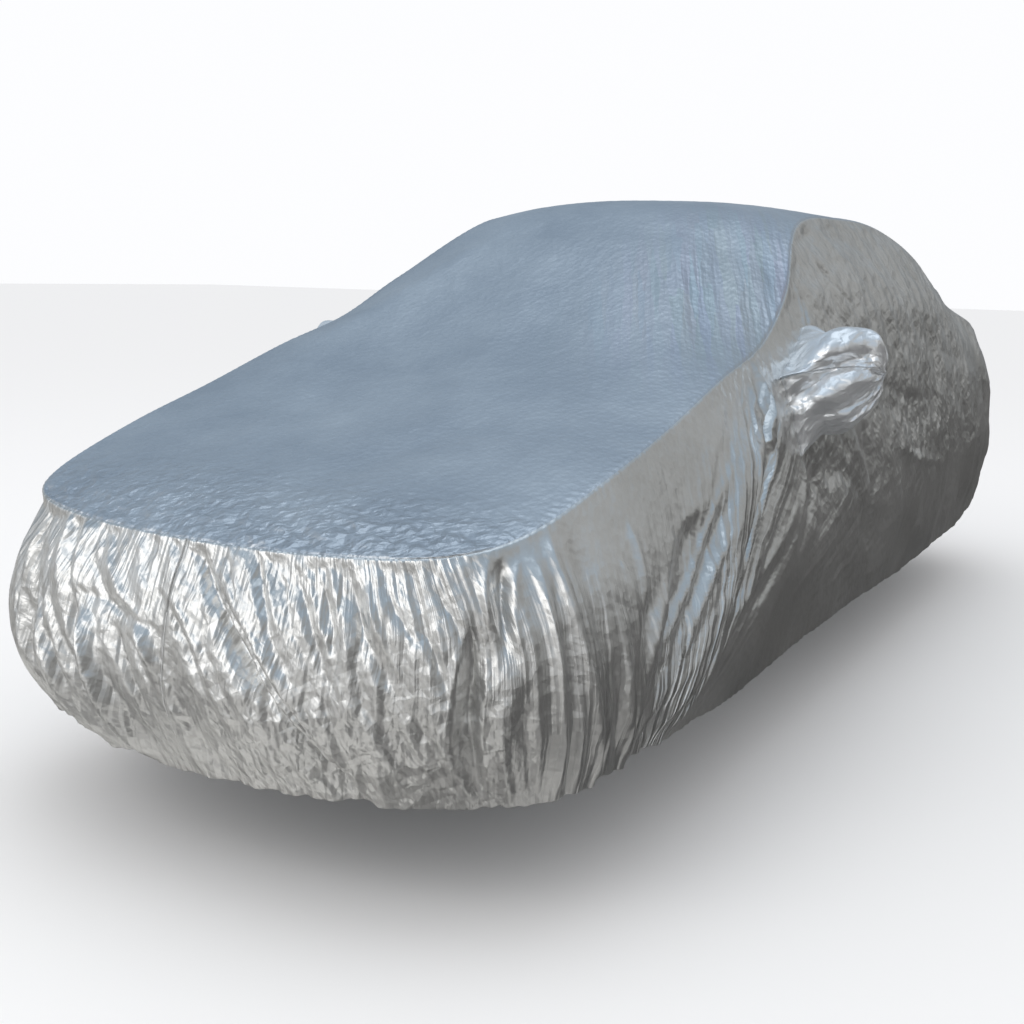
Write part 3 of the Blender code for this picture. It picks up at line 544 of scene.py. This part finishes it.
def sideGrid(side):
    values = sideFilm
    metres = np.concatenate([np.arange(low, high, step) for low, high, step in values["columnSteps"]])
    numbers = numberAt(metres)
    firstHole, lastHole = number[values["hole"][0]], number[values["hole"][1]]
    firstColumn, lastColumn = (int(np.argmin(abs(numbers - edge))) for edge in (firstHole, lastHole))
    numbers[firstColumn], numbers[lastColumn] = firstHole, lastHole
    numbers[-1] = len(outline) - 1
    metres = metresAround(numbers)
    length = sum(np.linalg.norm(np.diff([ringAt(c, numbers) for c in pair], axis=0)[0], axis=1)
                 for pair in (("seam", "belt"), ("belt", "waist"), ("waist", "hem")))
    length = length[:, None]
    share = np.linspace(0, 1, values["rows"] - len(seamRows))
    plain = plainRows / length + (1 - plainRows / length) * share
    down = np.concatenate([seamRows / length, plain], axis=1)
    holeTop, holeLow = values["hole"][2:]
    holeMiddle = down[(firstColumn + lastColumn) // 2]
    topRow, lowRow = (int(np.argmin(abs(holeMiddle - edge))) for edge in (holeTop, holeLow))
    grid = sideSurface(numbers, down)
    normal = gridNormals(grid)
    normal *= np.sign((normal * grid)[..., :2].sum(-1).mean())
    height = grid[..., 2]
    a = np.broadcast_to(side * metres[:, None], down.shape)
    places = np.stack([a, height], -1)
    broad, crease, sharp = values["broadShare"], values["creaseShare"], values["broadSharpness"]
    lowLeft = ease((0.30 - a) / 0.3) * ease((a + 0.66) / 0.25) * ease((0.62 - height) / 0.12)
    relief = broad * (1 + lowLeft) * foldRelief(places, skirtFolds["front"], sharp)
    relief += crease * (1.1 + 0.6 * lowLeft) * foldRelief(places, skirtFolds["frontCreases"], 0.8)
    sideways = places * np.array([side, 1]) - np.array([values["rightShift"] if side < 0 else 0, 0])
    strength = values["rightStrength"] if side < 0 else 1
    relief += strength * broad * foldRelief(sideways, skirtFolds["sides"], sharp)
    relief += strength * crease * foldRelief(sideways, skirtFolds["sideCreases"], 0.8)
    hemHeight = ringAt("hem", numbers)[:, None, 2]
    aboveHem = height - hemHeight
    relief *= 0.55 + 0.45 * ease(aboveHem / 0.05)
    relief += sideCrumple(a, height) * (0.35 + 0.65 * ease(aboveHem / 0.07))
    relief -= 0.020 * hump(a, -0.88, 0.26)       # the far front corner is drawn in a little
    belowSeam = down * length
    relief *= ease((belowSeam - 0.006) / (0.05 - 0.02 * ease((0.9 - np.abs(a)) / 0.2)))
    relief += hemGathers(a, height, hemHeight)
    fromRoot = rootDistance(numbers, down, length, (firstHole, lastHole, holeTop, holeLow))
    relief += 0.0035 * crushed(a / 0.03, height / 0.03, 51) * hump(fromRoot, 0, 0.05)
    fromMiddle = np.minimum(metres, metres[-1] - metres)[:, None]
    joined = ease((fromMiddle - 0.002) / 0.03)
    joined = np.where(metres[:, None] < 1, 0.15 + 0.85 * joined, joined)
    relief *= joined
    puckers = values["seamPucker"] * stitchWaves(a, 0.021, 0.09, 61) * hump(belowSeam, 0.013, 0.012)
    grid += normal * (relief + puckers * joined)[..., None]
    groove = np.exp(-(belowSeam / 0.0040) ** 2)[..., None]
    grid += groove * seamInward(numbers)[:, None] * values["seamDepth"]
    middleGroove = np.exp(-(fromMiddle / 0.006) ** 2)
    grid -= normal * (middleGroove * 0.0015 * (1 - groove[..., 0]))[..., None]
    grid[0, :, 0] = grid[-1, :, 0] = values["edgeGap"]
    outward = unit(normal[:, -1] * np.array([1, 1, 0]))
    downward = unit(grid[:, -1] - grid[:, -3])
    hem = grid[:, -1]
    roll = values["hemRoll"]
    turned = []
    for angle in (0.6, 1.3, 2.0, 2.7, math.pi):
        turned.append(hem - outward * roll * (1 - math.cos(angle)) + downward * roll * math.sin(angle))
    for rise in (0.006, 0.013, values["hemTurnUp"]):
        turned.append(hem - outward * 2 * roll - downward * rise)
    grid = np.concatenate([grid, np.stack(turned, 1)], axis=1)
    attributes = {}
    for key, flow in filmFlow(a, height).items():
        attributes[key] = np.concatenate([flow, np.repeat(flow[:, -1:], len(turned), axis=1)], axis=1)
    grid[0, :, 0] = grid[-1, :, 0] = values["edgeGap"]
    if side < 0:
        grid = grid * mirrorX
    hole = (firstColumn, lastColumn, topRow, lowRow)
    return heldUp(grid), hole, attributes


def rootDistance(numbers, down, length, edges):       # metres from the pocket's root
    firstHole, lastHole, holeTop, holeLow = edges
    metres = metresAround(numbers)
    low, high = metresAround(np.array([firstHole, lastHole]))
    sideways = np.maximum(low - metres, metres - high)[:, None]
    upright = np.maximum(holeTop - down, down - holeLow) * length
    outside = np.hypot(np.maximum(sideways, 0), np.maximum(upright, 0))
    return np.where((sideways < 0) & (upright < 0), 0, outside)


def filmObject(name, points, faces, material, attributes):
    mesh = bpy.data.meshes.new(name)
    mesh.from_pydata(points.tolist(), [], faces)
    for key, values in attributes.items():
        kind, field = ("FLOAT_VECTOR", "vector") if values.ndim == 2 else ("FLOAT", "value")
        layer = mesh.attributes.new(key, kind, "POINT")
        layer.data.foreach_set(field, values.astype(np.float32).ravel())
    mesh.shade_smooth()
    mesh.materials.append(material)
    film = bpy.data.objects.new(name, mesh)
    bpy.context.scene.collection.objects.link(film)
    return film


def facesInward(points, quads, inside):
    corner = points[quads[:, 0]]
    normal = np.cross(points[quads[:, 1]] - corner, points[quads[:, 3]] - corner)
    return (normal * (points[quads].mean(1) - inside)).sum() < 0


def sheetObject(name, grid, material, attributes, skip=None):
    rows, columns = grid.shape[:2]
    index = np.arange(rows * columns).reshape(rows, columns)
    quads = np.stack([index[:-1, :-1], index[:-1, 1:], index[1:, 1:], index[1:, :-1]], -1)
    keep = np.ones(quads.shape[:2], bool)
    if skip:
        keep[skip[0]:skip[1], skip[2]:skip[3]] = False
    quads = quads[keep]
    points = (grid - roofRest).reshape(-1, 3)
    if facesInward(points, quads, insidePlace):
        quads = quads[:, ::-1]
    used, quads = np.unique(quads, return_inverse=True)
    quads = quads.reshape(-1, 4)
    kept = {}
    for key, values in attributes.items():
        if values.ndim == 3:
            values = np.concatenate([values, np.zeros_like(values[..., :1])], -1).reshape(-1, 3)
        else:
            values = values.reshape(-1)
        kept[key] = values[used]
    return filmObject(name, points[used], quads.tolist(), material, kept)


# shader helpers
class Wire:       # a socket that can be used in an expression
    def __init__(self, paint, socket):
        self.paint = paint
        self.socket = socket

    def math(self, operation, first, second):
        return self.paint.add("ShaderNodeMath", {"operation": operation}, {0: first, 1: second})[0]

    def __add__(self, other):
        return self.math("ADD", self, other)

    def __radd__(self, other):
        return self.math("ADD", other, self)

    def __sub__(self, other):
        return self.math("SUBTRACT", self, other)

    def __rsub__(self, other):
        return self.math("SUBTRACT", other, self)

    def __mul__(self, other):
        return self.math("MULTIPLY", self, other)

    def __rmul__(self, other):
        return self.math("MULTIPLY", other, self)


class Paint:       # one material's nodes
    def __init__(self, tree):
        self.tree = tree

    def add(self, kind, settings=None, inputs=None):
        node = self.tree.nodes.new(kind)
        for key, value in (settings or {}).items():
            setattr(node, key, value)
        for key, value in (inputs or {}).items():
            if isinstance(value, Wire):
                self.tree.links.new(value.socket, node.inputs[key])
            else:
                node.inputs[key].default_value = value
        return [Wire(self, socket) for socket in node.outputs if socket.enabled]

    def mixColours(self, share, first, second):
        first, second = (value if isinstance(value, Wire) else (*value, 1) for value in (first, second))
        return self.add("ShaderNodeMix", {"data_type": "RGBA"}, {0: share, 6: first, 7: second})[0]

    def attribute(self, name):
        return self.add("ShaderNodeAttribute", {"attribute_name": name})

    def noise(self, place, scale, detail, roughness=0.5):
        inputs = {"Vector": place, "Scale": scale, "Detail": detail, "Roughness": roughness}
        return self.add("ShaderNodeTexNoise", {}, inputs)

    def clamp(self, value):
        return self.add("ShaderNodeClamp", {}, {0: value})[0]

    def clouds(self, place, scale):       # soft patches, mostly 0 or 1
        return self.clamp((self.noise(place, scale, 2.0)[0] - 0.38) * 4.0)

    def smooth(self, value, low, high):       # 0 below low, 1 above high
        inputs = {0: value, 1: low, 2: high, 3: 0.0, 4: 1.0}
        return self.add("ShaderNodeMapRange", {"interpolation_type": "SMOOTHSTEP"}, inputs)[0]

    def vectors(self, operation, first, second):
        return self.add("ShaderNodeVectorMath", {"operation": operation}, {0: first, 1: second})[0]

    def shards(self, place, size, turn, seed):       # flat pieces of film between sharp creases, 0 to about 1
        inputs = {"Vector": place, "Angle": turn}
        turned = self.add("ShaderNodeVectorRotate", {"rotation_type": "Z_AXIS"}, inputs)[0]
        scaled = self.vectors("MULTIPLY", turned, (1 / size[0], 1 / size[1], 0))
        moved = self.vectors("ADD", scaled, (seed, seed, 0))
        settings = {"voronoi_dimensions": "2D", "distance": "MANHATTAN"}
        return self.add("ShaderNodeTexVoronoi", settings, {"Vector": moved, "Scale": 1.0})


filmLook = {       # sizes are across and along the fall of the film, and reliefs are heights, in metres
    # the top's light and dull colours are blue-grey and darker than the skirt's: a painted reflection of blue
    # sky on the same silver film
    "top": {"light": (0.66, 0.70, 0.74), "dull": (0.52, 0.56, 0.61), "rough": 0.40, "metal": 0.88,
            "shard": (0.070, 0.045), "shardRelief": 0.0060, "pleat": (0.024, 0.26), "pleatRelief": 0.0018,
            "crinkle": 0.018, "crinkleRelief": 0.0010, "tint": 0.05},
    "skirt": {"light": (0.86, 0.86, 0.85), "dull": (0.70, 0.70, 0.69), "rough": 0.34, "metal": 0.93,
              "shard": (0.060, 0.160), "shardRelief": 0.0065, "pleat": (0.022, 0.80), "pleatRelief": 0.0046,
              "crinkle": 0.022, "crinkleRelief": 0.0010, "tint": 0.0},
    # the pocket's near-white colours stand for sunlight falling on it: painted light on the same silver film,
    # lighter than the skirt's
    "pocket": {"light": (0.97, 0.975, 0.98), "dull": (0.88, 0.90, 0.92), "rough": 0.34, "metal": 0.80,
               "shard": (0.100, 0.080), "shardRelief": 0.0090, "pleat": (0.03, 0.08), "pleatRelief": 0.0,
               "crinkle": 0.016, "crinkleRelief": 0.0002, "tint": 0.0},
}


def filmMaterial(name, look):
    material = bpy.data.materials.new(name)
    material.use_nodes = True
    tree = material.node_tree
    shader = tree.nodes["Principled BSDF"]
    paint = Paint(tree)
    place = paint.add("ShaderNodeTexCoord")[3]
    fall, fan = (paint.attribute(key)[1] for key in ("fall", "fan"))
    wrinkled, pleated = (paint.attribute(key)[2] for key in ("wrinkled", "pleated"))
    patches = paint.noise(place, 3.2, 4.0, 0.6)[0]
    fine = paint.noise(place, 90.0, 1.0)[0]
    bend = paint.noise(place, 14.0, 2.0)[1]
    bent = paint.vectors("ADD", fall, paint.vectors("MULTIPLY", bend, (0.03, 0.03, 0)))
    shard = look["shard"]
    folded = paint.shards(bent, shard, 0.3, 3.0)[0]
    for scale, turn, seed in ((0.62, 1.2, 7.0), (0.36, -0.7, 11.0)):
        folded = folded + paint.shards(bent, (shard[0] * scale, shard[1] * scale), turn, seed)[0] * scale
    swayed = paint.vectors("ADD", fan, paint.vectors("MULTIPLY", bend, (0.012, 0.012, 0)))
    pleat = look["pleat"]
    pleats, pleatTint = paint.shards(swayed, pleat, 0.0, 5.0)[:2]
    pleats = pleats + paint.shards(swayed, (pleat[0] * 0.6, pleat[1] * 0.7), 0.0, 13.0)[0] * 0.6
    crinkles = paint.shards(fall, (look["crinkle"], look["crinkle"]), 0.5, 9.0)[0]
    shade = (patches - 0.35) * 2.2
    lightness = paint.clamp(shade + (fine - 0.5) * 0.5)
    colour = paint.mixColours(lightness, look["dull"], look["light"])
    if look["tint"]:
        colour = paint.mixColours(pleated * look["tint"], colour, pleatTint)
    tree.links.new(colour.socket, shader.inputs["Base Color"])
    rough = look["rough"] + (patches - 0.5) * 0.10
    tree.links.new(rough.socket, shader.inputs["Roughness"])
    shader.inputs["Metallic"].default_value = look["metal"]
    relief = folded * look["shardRelief"] * wrinkled + pleats * look["pleatRelief"] * pleated
    relief = relief + crinkles * look["crinkleRelief"] + fine * 0.0002
    bump = paint.add("ShaderNodeBump", {}, {"Strength": 1.0, "Distance": 1.0, "Height": relief})[0]
    tree.links.new(bump.socket, shader.inputs["Normal"])
    return material


# the top panel's blue-grey colours are a painted sky reflection
topMaterial = filmMaterial("topFilmPaintedSkyBlue", filmLook["top"])
skirtMaterial = filmMaterial("silverFilm", filmLook["skirt"])
# the pocket's material is the silver film with painted sunlight in its colour
pocketMaterial = filmMaterial("pocketFoilPaintedSunlit", filmLook["pocket"])
print("materials made")

# top panel
topFilm = {
    "noseRows": (0.038, 0.40, 0.0050),       # from, to and spacing, in metres from the front seam
    "spacing": 0.0095,
    "acrossSpacing": 0.0078,
    "halfWidth": 0.64,
    "seamDepth": 0.0025,
    "seamPucker": 0.0010,
    "felledEdge": 0.0007,
    "depths": {"scribbles": 0.0038, "runs": 0.0022, "slants": 0.0018, "dimples": 0.0008, "gentle": 0.0016,
               "rear": 0.0045},
    "broad": [       # a place on it is its (x, y)
        Fold((0.40, -0.20), (0.47, -0.48), (0.60, -0.86), 0.050, -0.008),
        Fold((0.30, -0.22), (0.37, -0.56), (0.52, -1.00), 0.050, 0.007),
        Fold((-0.34, -0.26), (-0.44, -0.60), (-0.56, -0.96), 0.060, 0.008),
        Fold((-0.10, -0.40), (0.00, -0.90), (0.16, -1.40), 0.080, 0.006),
        Fold((0.30, -1.30), (0.16, -1.60), (0.05, -1.90), 0.080, -0.006),
        Fold((-0.40, -1.20), (-0.30, -1.50), (-0.20, -1.86), 0.080, 0.006),
        Fold((-0.42, 1.00), (-0.46, 1.30), (-0.50, 1.62), 0.070, 0.008),
        Fold((0.42, 0.98), (0.45, 1.26), (0.52, 1.60), 0.070, -0.008),
        Fold((-0.40, 1.74), (0.00, 1.64), (0.42, 1.76), 0.090, -0.010),
    ],
}


def leftGlass(x, y):
    return hump(y, -0.55, 0.38) * ease((x - 0.05) / 0.35)


def topCrumple(x, y):
    depth = topFilm["depths"]
    nose = ease((-1.78 - y) / 0.24)
    rightGlass = hump(y, -0.55, 0.36) * ease((0.15 - x) / 0.4)
    rear = ease((y - 1.0) / 0.3)
    scribbles = crushed(x / 0.040, y / 0.026, 71) * depth["scribbles"] * nose
    runs = crushed((x + 0.5 * y) / 0.030, y / 0.60, 74, 2, 0.04, 0.3) * depth["runs"] * leftGlass(x, y)
    slants = crushed((x + 0.55 * y) / 0.050, (y - 0.5 * x) / 0.28, 79) * depth["slants"] * rightGlass
    dimples = gradientNoise(x / 0.030, y / 0.036, 83) * depth["dimples"]
    gentle = gradientNoise(x / 0.24, y / 0.30, 89) * depth["gentle"]
    boot = crushed(x / 0.11, y / 0.14, 97) * depth["rear"] * rear
    return scribbles + runs + slants + dimples + gentle + boot


def endLine(line, share):       # the seam round one end of the panel, at each share of its half width
    across = line[:, 0] / line[-1, 0]
    return np.stack([np.interp(share, across, line[:, axis]) for axis in range(3)], -1)


def topGrid():
    values = topFilm
    first, last = number["frontCorner"], number["backCorner"]
    dense = np.linspace(first, last, 2000)
    run = runLength(ridgeAt(dense)[0])
    nose = np.arange(*values["noseRows"])
    inner = np.arange(values["noseRows"][1], run[-1] - plainRows, values["spacing"])
    rows = np.concatenate([seamRows, nose, inner, run[-1] - seamRows[::-1]])
    numbers = np.interp(rows, run, dense)
    centre, crown = ridgeAt(numbers)
    edge = ringAt("seam", numbers)
    width = values["halfWidth"]
    fromEdge = np.concatenate([seamRows, np.arange(plainRows, width, values["acrossSpacing"])])
    share = np.append(1 - fromEdge / width, 0)[::-1]
    front = endLine(ringAt("seam", np.linspace(0, first, 400)), share)
    back = endLine(ringAt("seam", np.linspace(len(outline) - 1, last, 400)), share)
    spread = np.stack(np.broadcast_arrays(share, share ** 2, share ** crown), -1)
    base = centre[:, None] + (edge - centre)[:, None] * spread
    nearFront = 1 - ease((numbers - first) / 1.6)[:, None, None]
    nearBack = 1 - ease((last - numbers) / 1.6)[:, None, None]
    base = base + nearFront * (front - base[0]) + nearBack * (back - base[-1])
    grid = np.concatenate([base[:, :0:-1] * mirrorX, base], axis=1)
    share = np.concatenate([-share[:0:-1], share])
    normal = gridNormals(grid)
    normal *= np.sign(normal[..., 2].mean())
    sideways = (1 - np.abs(share))[None] * np.abs(grid[:, -1:, 0])
    lengthways = np.minimum(rows, run[-1] - rows)[:, None]
    fromSeam = np.minimum(sideways, lengthways)
    x, y = grid[..., 0], grid[..., 1]       # these change with the grid
    relief = foldRelief(grid[..., :2], values["broad"], 0.2) + topCrumple(x, y)
    relief *= ease((fromSeam - 0.003) / (0.06 - 0.035 * ease((-1.5 - y) / 0.2)))
    alongSeam = np.where(sideways < lengthways, y, x)
    puckers = values["seamPucker"] * stitchWaves(alongSeam, 0.023, 0.1, 101) * hump(fromSeam, 0.020, 0.014)
    felled = values["felledEdge"] * ease((fromSeam - 0.004) / 0.004) * ease((0.021 - fromSeam) / 0.005)
    grid += normal * (relief + puckers * ease(fromSeam / 0.006) + felled)[..., None]
    outX = ease(np.abs(x) / 0.5) * np.sign(x) * (sideways < lengthways + 0.02)
    outY = np.sign(y) * (lengthways < sideways + 0.02)
    inward = -unit(np.stack([outX, outY, np.full_like(x, 0.9)], -1))
    groove = np.exp(-(fromSeam / 0.0040) ** 2)[..., None]
    grid += groove * inward * values["seamDepth"]
    wrinkled = 0.04 + 0.96 * ease((-1.70 - y) / 0.30) + 0.3 * ease((y - 0.9) / 0.4)
    flow = {"fall": np.stack([x, y], -1), "fan": np.stack([x + 0.5 * y, y], -1)}
    return heldUp(grid), {**flow, "wrinkled": wrinkled, "pleated": leftGlass(x, y)}


grid, attributes = topGrid()
topPanel = sheetObject("topPanel", grid, topMaterial, attributes)
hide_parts("top_panel")
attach(topPanel, "root")
print("top panel", len(topPanel.data.polygons), "faces")

# mirror pockets
mirrorPocket = {
    "sections": [       # reach, height, depth, rise and back of the pocket, from its root outwards
        (0.00, 0.26, 0.25, 0.000, 0.000), (0.04, 0.270, 0.22, 0.021, -0.012),
        (0.08, 0.280, 0.19, 0.036, -0.012), (0.12, 0.275, 0.165, 0.043, -0.004),
        (0.155, 0.235, 0.14, 0.050, 0.006), (0.182, 0.17, 0.105, 0.056, 0.012),
        (0.198, 0.09, 0.06, 0.058, 0.016), (0.204, 0.012, 0.010, 0.060, 0.016),
    ],
    "crease": 0.042,
    "creaseWidth": 0.030,
    "rightDroop": 0.150,
    "rings": 90,
    "girth": 0.9,              # metres of film round it and from its root to its tip
    "reach": 0.24,
    "facet": 0.080,
    "facetDepth": 0.0125,
}


def pocketSheet(name, grid, hole, side):
    values = mirrorPocket
    first, last, high, low = hole
    cells = [(i, high) for i in range(first, last)] + [(last, j) for j in range(high, low)]
    cells += [(i, low) for i in range(last, first, -1)] + [(first, j) for j in range(low, high, -1)]
    root = np.array([grid[cell] for cell in cells])
    middle = root.mean(axis=0)
    span = np.ptp(root, axis=0)
    angle = np.unwrap(np.arctan2((root - middle)[:, 1] / span[1], (root - middle)[:, 2] / span[2]))
    turns = np.linspace(0, 1, len(root), endpoint=False)
    sections = np.array(values["sections"])
    rings = []
    for step in np.linspace(0, len(sections) - 1, values["rings"]):
        reach, height, depth, rise, back = throughPoints(sections, step)
        rounded = np.stack([np.zeros_like(angle), np.sin(angle) * depth / 2, np.cos(angle) * height / 2], -1)
        blend = ease(reach / 0.09)
        points = (root - middle) * (1 - blend) + rounded * blend
        out = reach / sections[-1, 0]
        front = ease(-points[:, 1] / (depth * 0.4 + 1e-4))
        level = points[:, 2] - height * (0.4 * out - 0.08)
        inset = np.exp(-(level / values["creaseWidth"]) ** 2)
        points[:, 1] += values["crease"] * ease(reach / 0.06) * (1 - out ** 3) * front * inset
        lobe = front * ease(reach / 0.08) * (1 - out ** 2)
        points[:, 1] -= 0.012 * lobe * hump(level, 0.055, 0.035) + 0.010 * lobe * hump(level, -0.060, 0.035)
        droop = 0 if side > 0 else values["rightDroop"] * out
        rings.append(points + middle + np.array([side * reach, back, rise - droop]))
    surface = np.stack(rings)
    closed = np.concatenate([surface, surface[:, :1]], axis=1)
    normal = gridNormals(closed)
    normal *= np.sign((normal * (closed - closed.mean((0, 1)))).sum(-1).mean())
    out = np.linspace(0, 1, len(rings))[:, None]
    ring = np.concatenate([turns, [1.0]])[None]
    wrap = ring * values["girth"]
    u, v = wrap / values["facet"] + 0.9 * out, out * values["reach"] / values["facet"]
    rough = crushed(u, v, 113, 2, 0.9, 0.25) * values["facetDepth"] + 0.001
    edge = ease(out / 0.08) * ease((1.02 - out) / 0.15)
    seamFade = ease(np.minimum(ring, 1 - ring) / 0.03)
    closed += normal * (rough * edge * seamFade)[..., None]
    closed[:, -1] = closed[:, 0]
    points = closed[:, :-1]
    flat = (points - roofRest).reshape(-1, 3)
    index = np.arange(len(flat)).reshape(points.shape[:2])
    onward = np.roll(index, -1, 1)
    quads = np.stack([index[:-1], onward[:-1], onward[1:], index[1:]], -1).reshape(-1, 4)
    if facesInward(flat, quads, flat.mean(0)):
        quads = quads[:, ::-1]
    tip = index[-1].tolist()
    if (quads[0, 0] == 0) != (side > 0):
        tip.reverse()
    across, along = np.broadcast_arrays(wrap[:, :-1], out * values["reach"])
    flow = np.stack([across, along, np.zeros_like(along)], -1).reshape(-1, 3)
    attributes = {"fall": flow, "wrinkled": np.ones(len(flat))}
    return filmObject(name, flat, quads.tolist() + [tip], pocketMaterial, attributes)


# side panels
for side, word in ((1, "Left"), (-1, "Right")):
    grid, hole, attributes = sideGrid(side)
    panel = sheetObject("sidePanel" + word, grid, skirtMaterial, attributes, hole)
    pocket = pocketSheet("mirrorPocket" + word, grid, hole, side)
    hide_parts("side_panel_" + word.lower())
    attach(panel, "root")
    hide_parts("mirror_pocket_" + word.lower())
    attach(pocket, "root")
    print("side panel", word, len(panel.data.polygons), "faces, pocket", len(pocket.data.polygons), "faces")

# floor and light
studio = {
    "floorTone": (0.88, 0.88, 0.88),
    "frontGround": ((0.05, 0.05, 0.05), (0.70, 0.69, 0.66)),       # dim and lit patches that the film mirrors
    # a painted shadow on the ground beside the cover, near black, which the film mirrors along its side
    "paintedShadowGround": ((0.02, 0.02, 0.019), (0.07, 0.066, 0.062)),
    "zenith": (0.26, 0.355, 0.455),
    "warmSide": (0.345, 0.35, 0.345),
    "bright": ((0.50, 0.53, 0.56), (0.84, 0.835, 0.82)),
    "shady": ((0.035, 0.035, 0.034), (0.19, 0.19, 0.18)),
    "dusk": ((0.165, 0.225, 0.285), (0.21, 0.27, 0.33)),
    "roomTone": (0.98, 0.985, 1.0),
    "lamps": [       # place, target, size, power and tint
        ("keyLight", (-1.8, -8.0, 3.4), (0, -1.6, -0.9), 6.0, 110, (1.0, 0.97, 0.93)),
        ("overhead", (0.0, -1.0, 6.0), (0, 0, -0.5), 6.0, 60, (0.85, 0.93, 1.0)),
    ],
}


def addFloor(values):
    mesh = bpy.data.meshes.new("floor")
    reach, level = 60.0, -roofRest[2]
    corners = [(x * reach, y * reach, level) for x, y in ((-1, -1), (1, -1), (1, 1), (-1, 1))]
    mesh.from_pydata(corners, [], [(0, 1, 2, 3)])
    material = bpy.data.materials.new("paleFloor")
    material.use_nodes = True
    paint = Paint(material.node_tree)
    shader = material.node_tree.nodes["Principled BSDF"]
    # reflections see a painted ground instead of the pale floor: painted sunlit and shaded patches ahead, and
    # a painted shadow towards +x
    mirrored = paint.add("ShaderNodeLightPath")[3]
    place = paint.add("ShaderNodeTexCoord")[3]
    x, y, z = paint.add("ShaderNodeSeparateXYZ", {}, {0: place})
    shadowSide = paint.smooth(x + 0.45 * y, -1.0, 0.9)
    patch = paint.clouds(place, 2.2)
    front, side = (paint.mixColours(patch, *values[key]) for key in ("frontGround", "paintedShadowGround"))
    ground = paint.mixColours(shadowSide, front, side)
    colour = paint.mixColours(mirrored, values["floorTone"], ground)
    material.node_tree.links.new(colour.socket, shader.inputs["Base Color"])
    shader.inputs["Roughness"].default_value = 0.9
    shader.inputs["Specular IOR Level"].default_value = 0.0
    mesh.materials.append(material)
    floor = bpy.data.objects.new("floor", mesh)
    bpy.context.scene.collection.objects.link(floor)


def addSky(values):
    world = bpy.data.worlds.new("sky")
    world.use_nodes = True
    tree = world.node_tree
    paint = Paint(tree)
    direction = paint.add("ShaderNodeTexCoord")[0]
    x, y, z = paint.add("ShaderNodeSeparateXYZ", {}, {0: direction})
    sideways = paint.smooth(x * 0.92 + y * 0.40, -0.15, 0.75)
    frontal = paint.smooth(0 - y, 0.2, 0.8)
    beside = paint.smooth(x, 0.55, 0.90)
    low = 0.12 + frontal * 0.26 - sideways * 0.10 + beside * 0.13
    up = paint.smooth(z, low, low + 0.50 - sideways * 0.22)
    patch = paint.clouds(direction, 3.2)
    ahead = paint.smooth(y - 0.3 * x, 0.1, 0.8)
    lit, dark, dusk = (paint.mixColours(patch, *values[key]) for key in ("bright", "shady", "dusk"))
    horizon = paint.mixColours(sideways, paint.mixColours(ahead, lit, dusk), dark)
    warm = sideways * (1 - paint.smooth(z, 0.55, 0.85))
    upper = paint.mixColours(warm, values["zenith"], values["warmSide"])
    colour = paint.mixColours(up, horizon, upper)
    mirrored = paint.add("ShaderNodeLightPath")[3]
    colour = paint.mixColours(mirrored, values["roomTone"], colour)
    tree.links.new(colour.socket, tree.nodes["Background"].inputs["Color"])
    bpy.context.scene.world = world


def addLamp(name, place, target, size, power, tint):
    data = bpy.data.lights.new(name, "AREA")
    data.shape = "DISK"
    data.size = size
    data.energy = power
    data.color = tint
    lamp = bpy.data.objects.new(name, data)
    lamp.location = place
    lamp.rotation_euler = (Vector(target) - Vector(place)).to_track_quat("-Z", "Y").to_euler()
    bpy.context.scene.collection.objects.link(lamp)


addFloor(studio)
addSky(studio)
for lamp in studio["lamps"]:
    addLamp(*lamp)
bpy.context.scene.view_settings.view_transform = "Standard"
print("floor and light done")
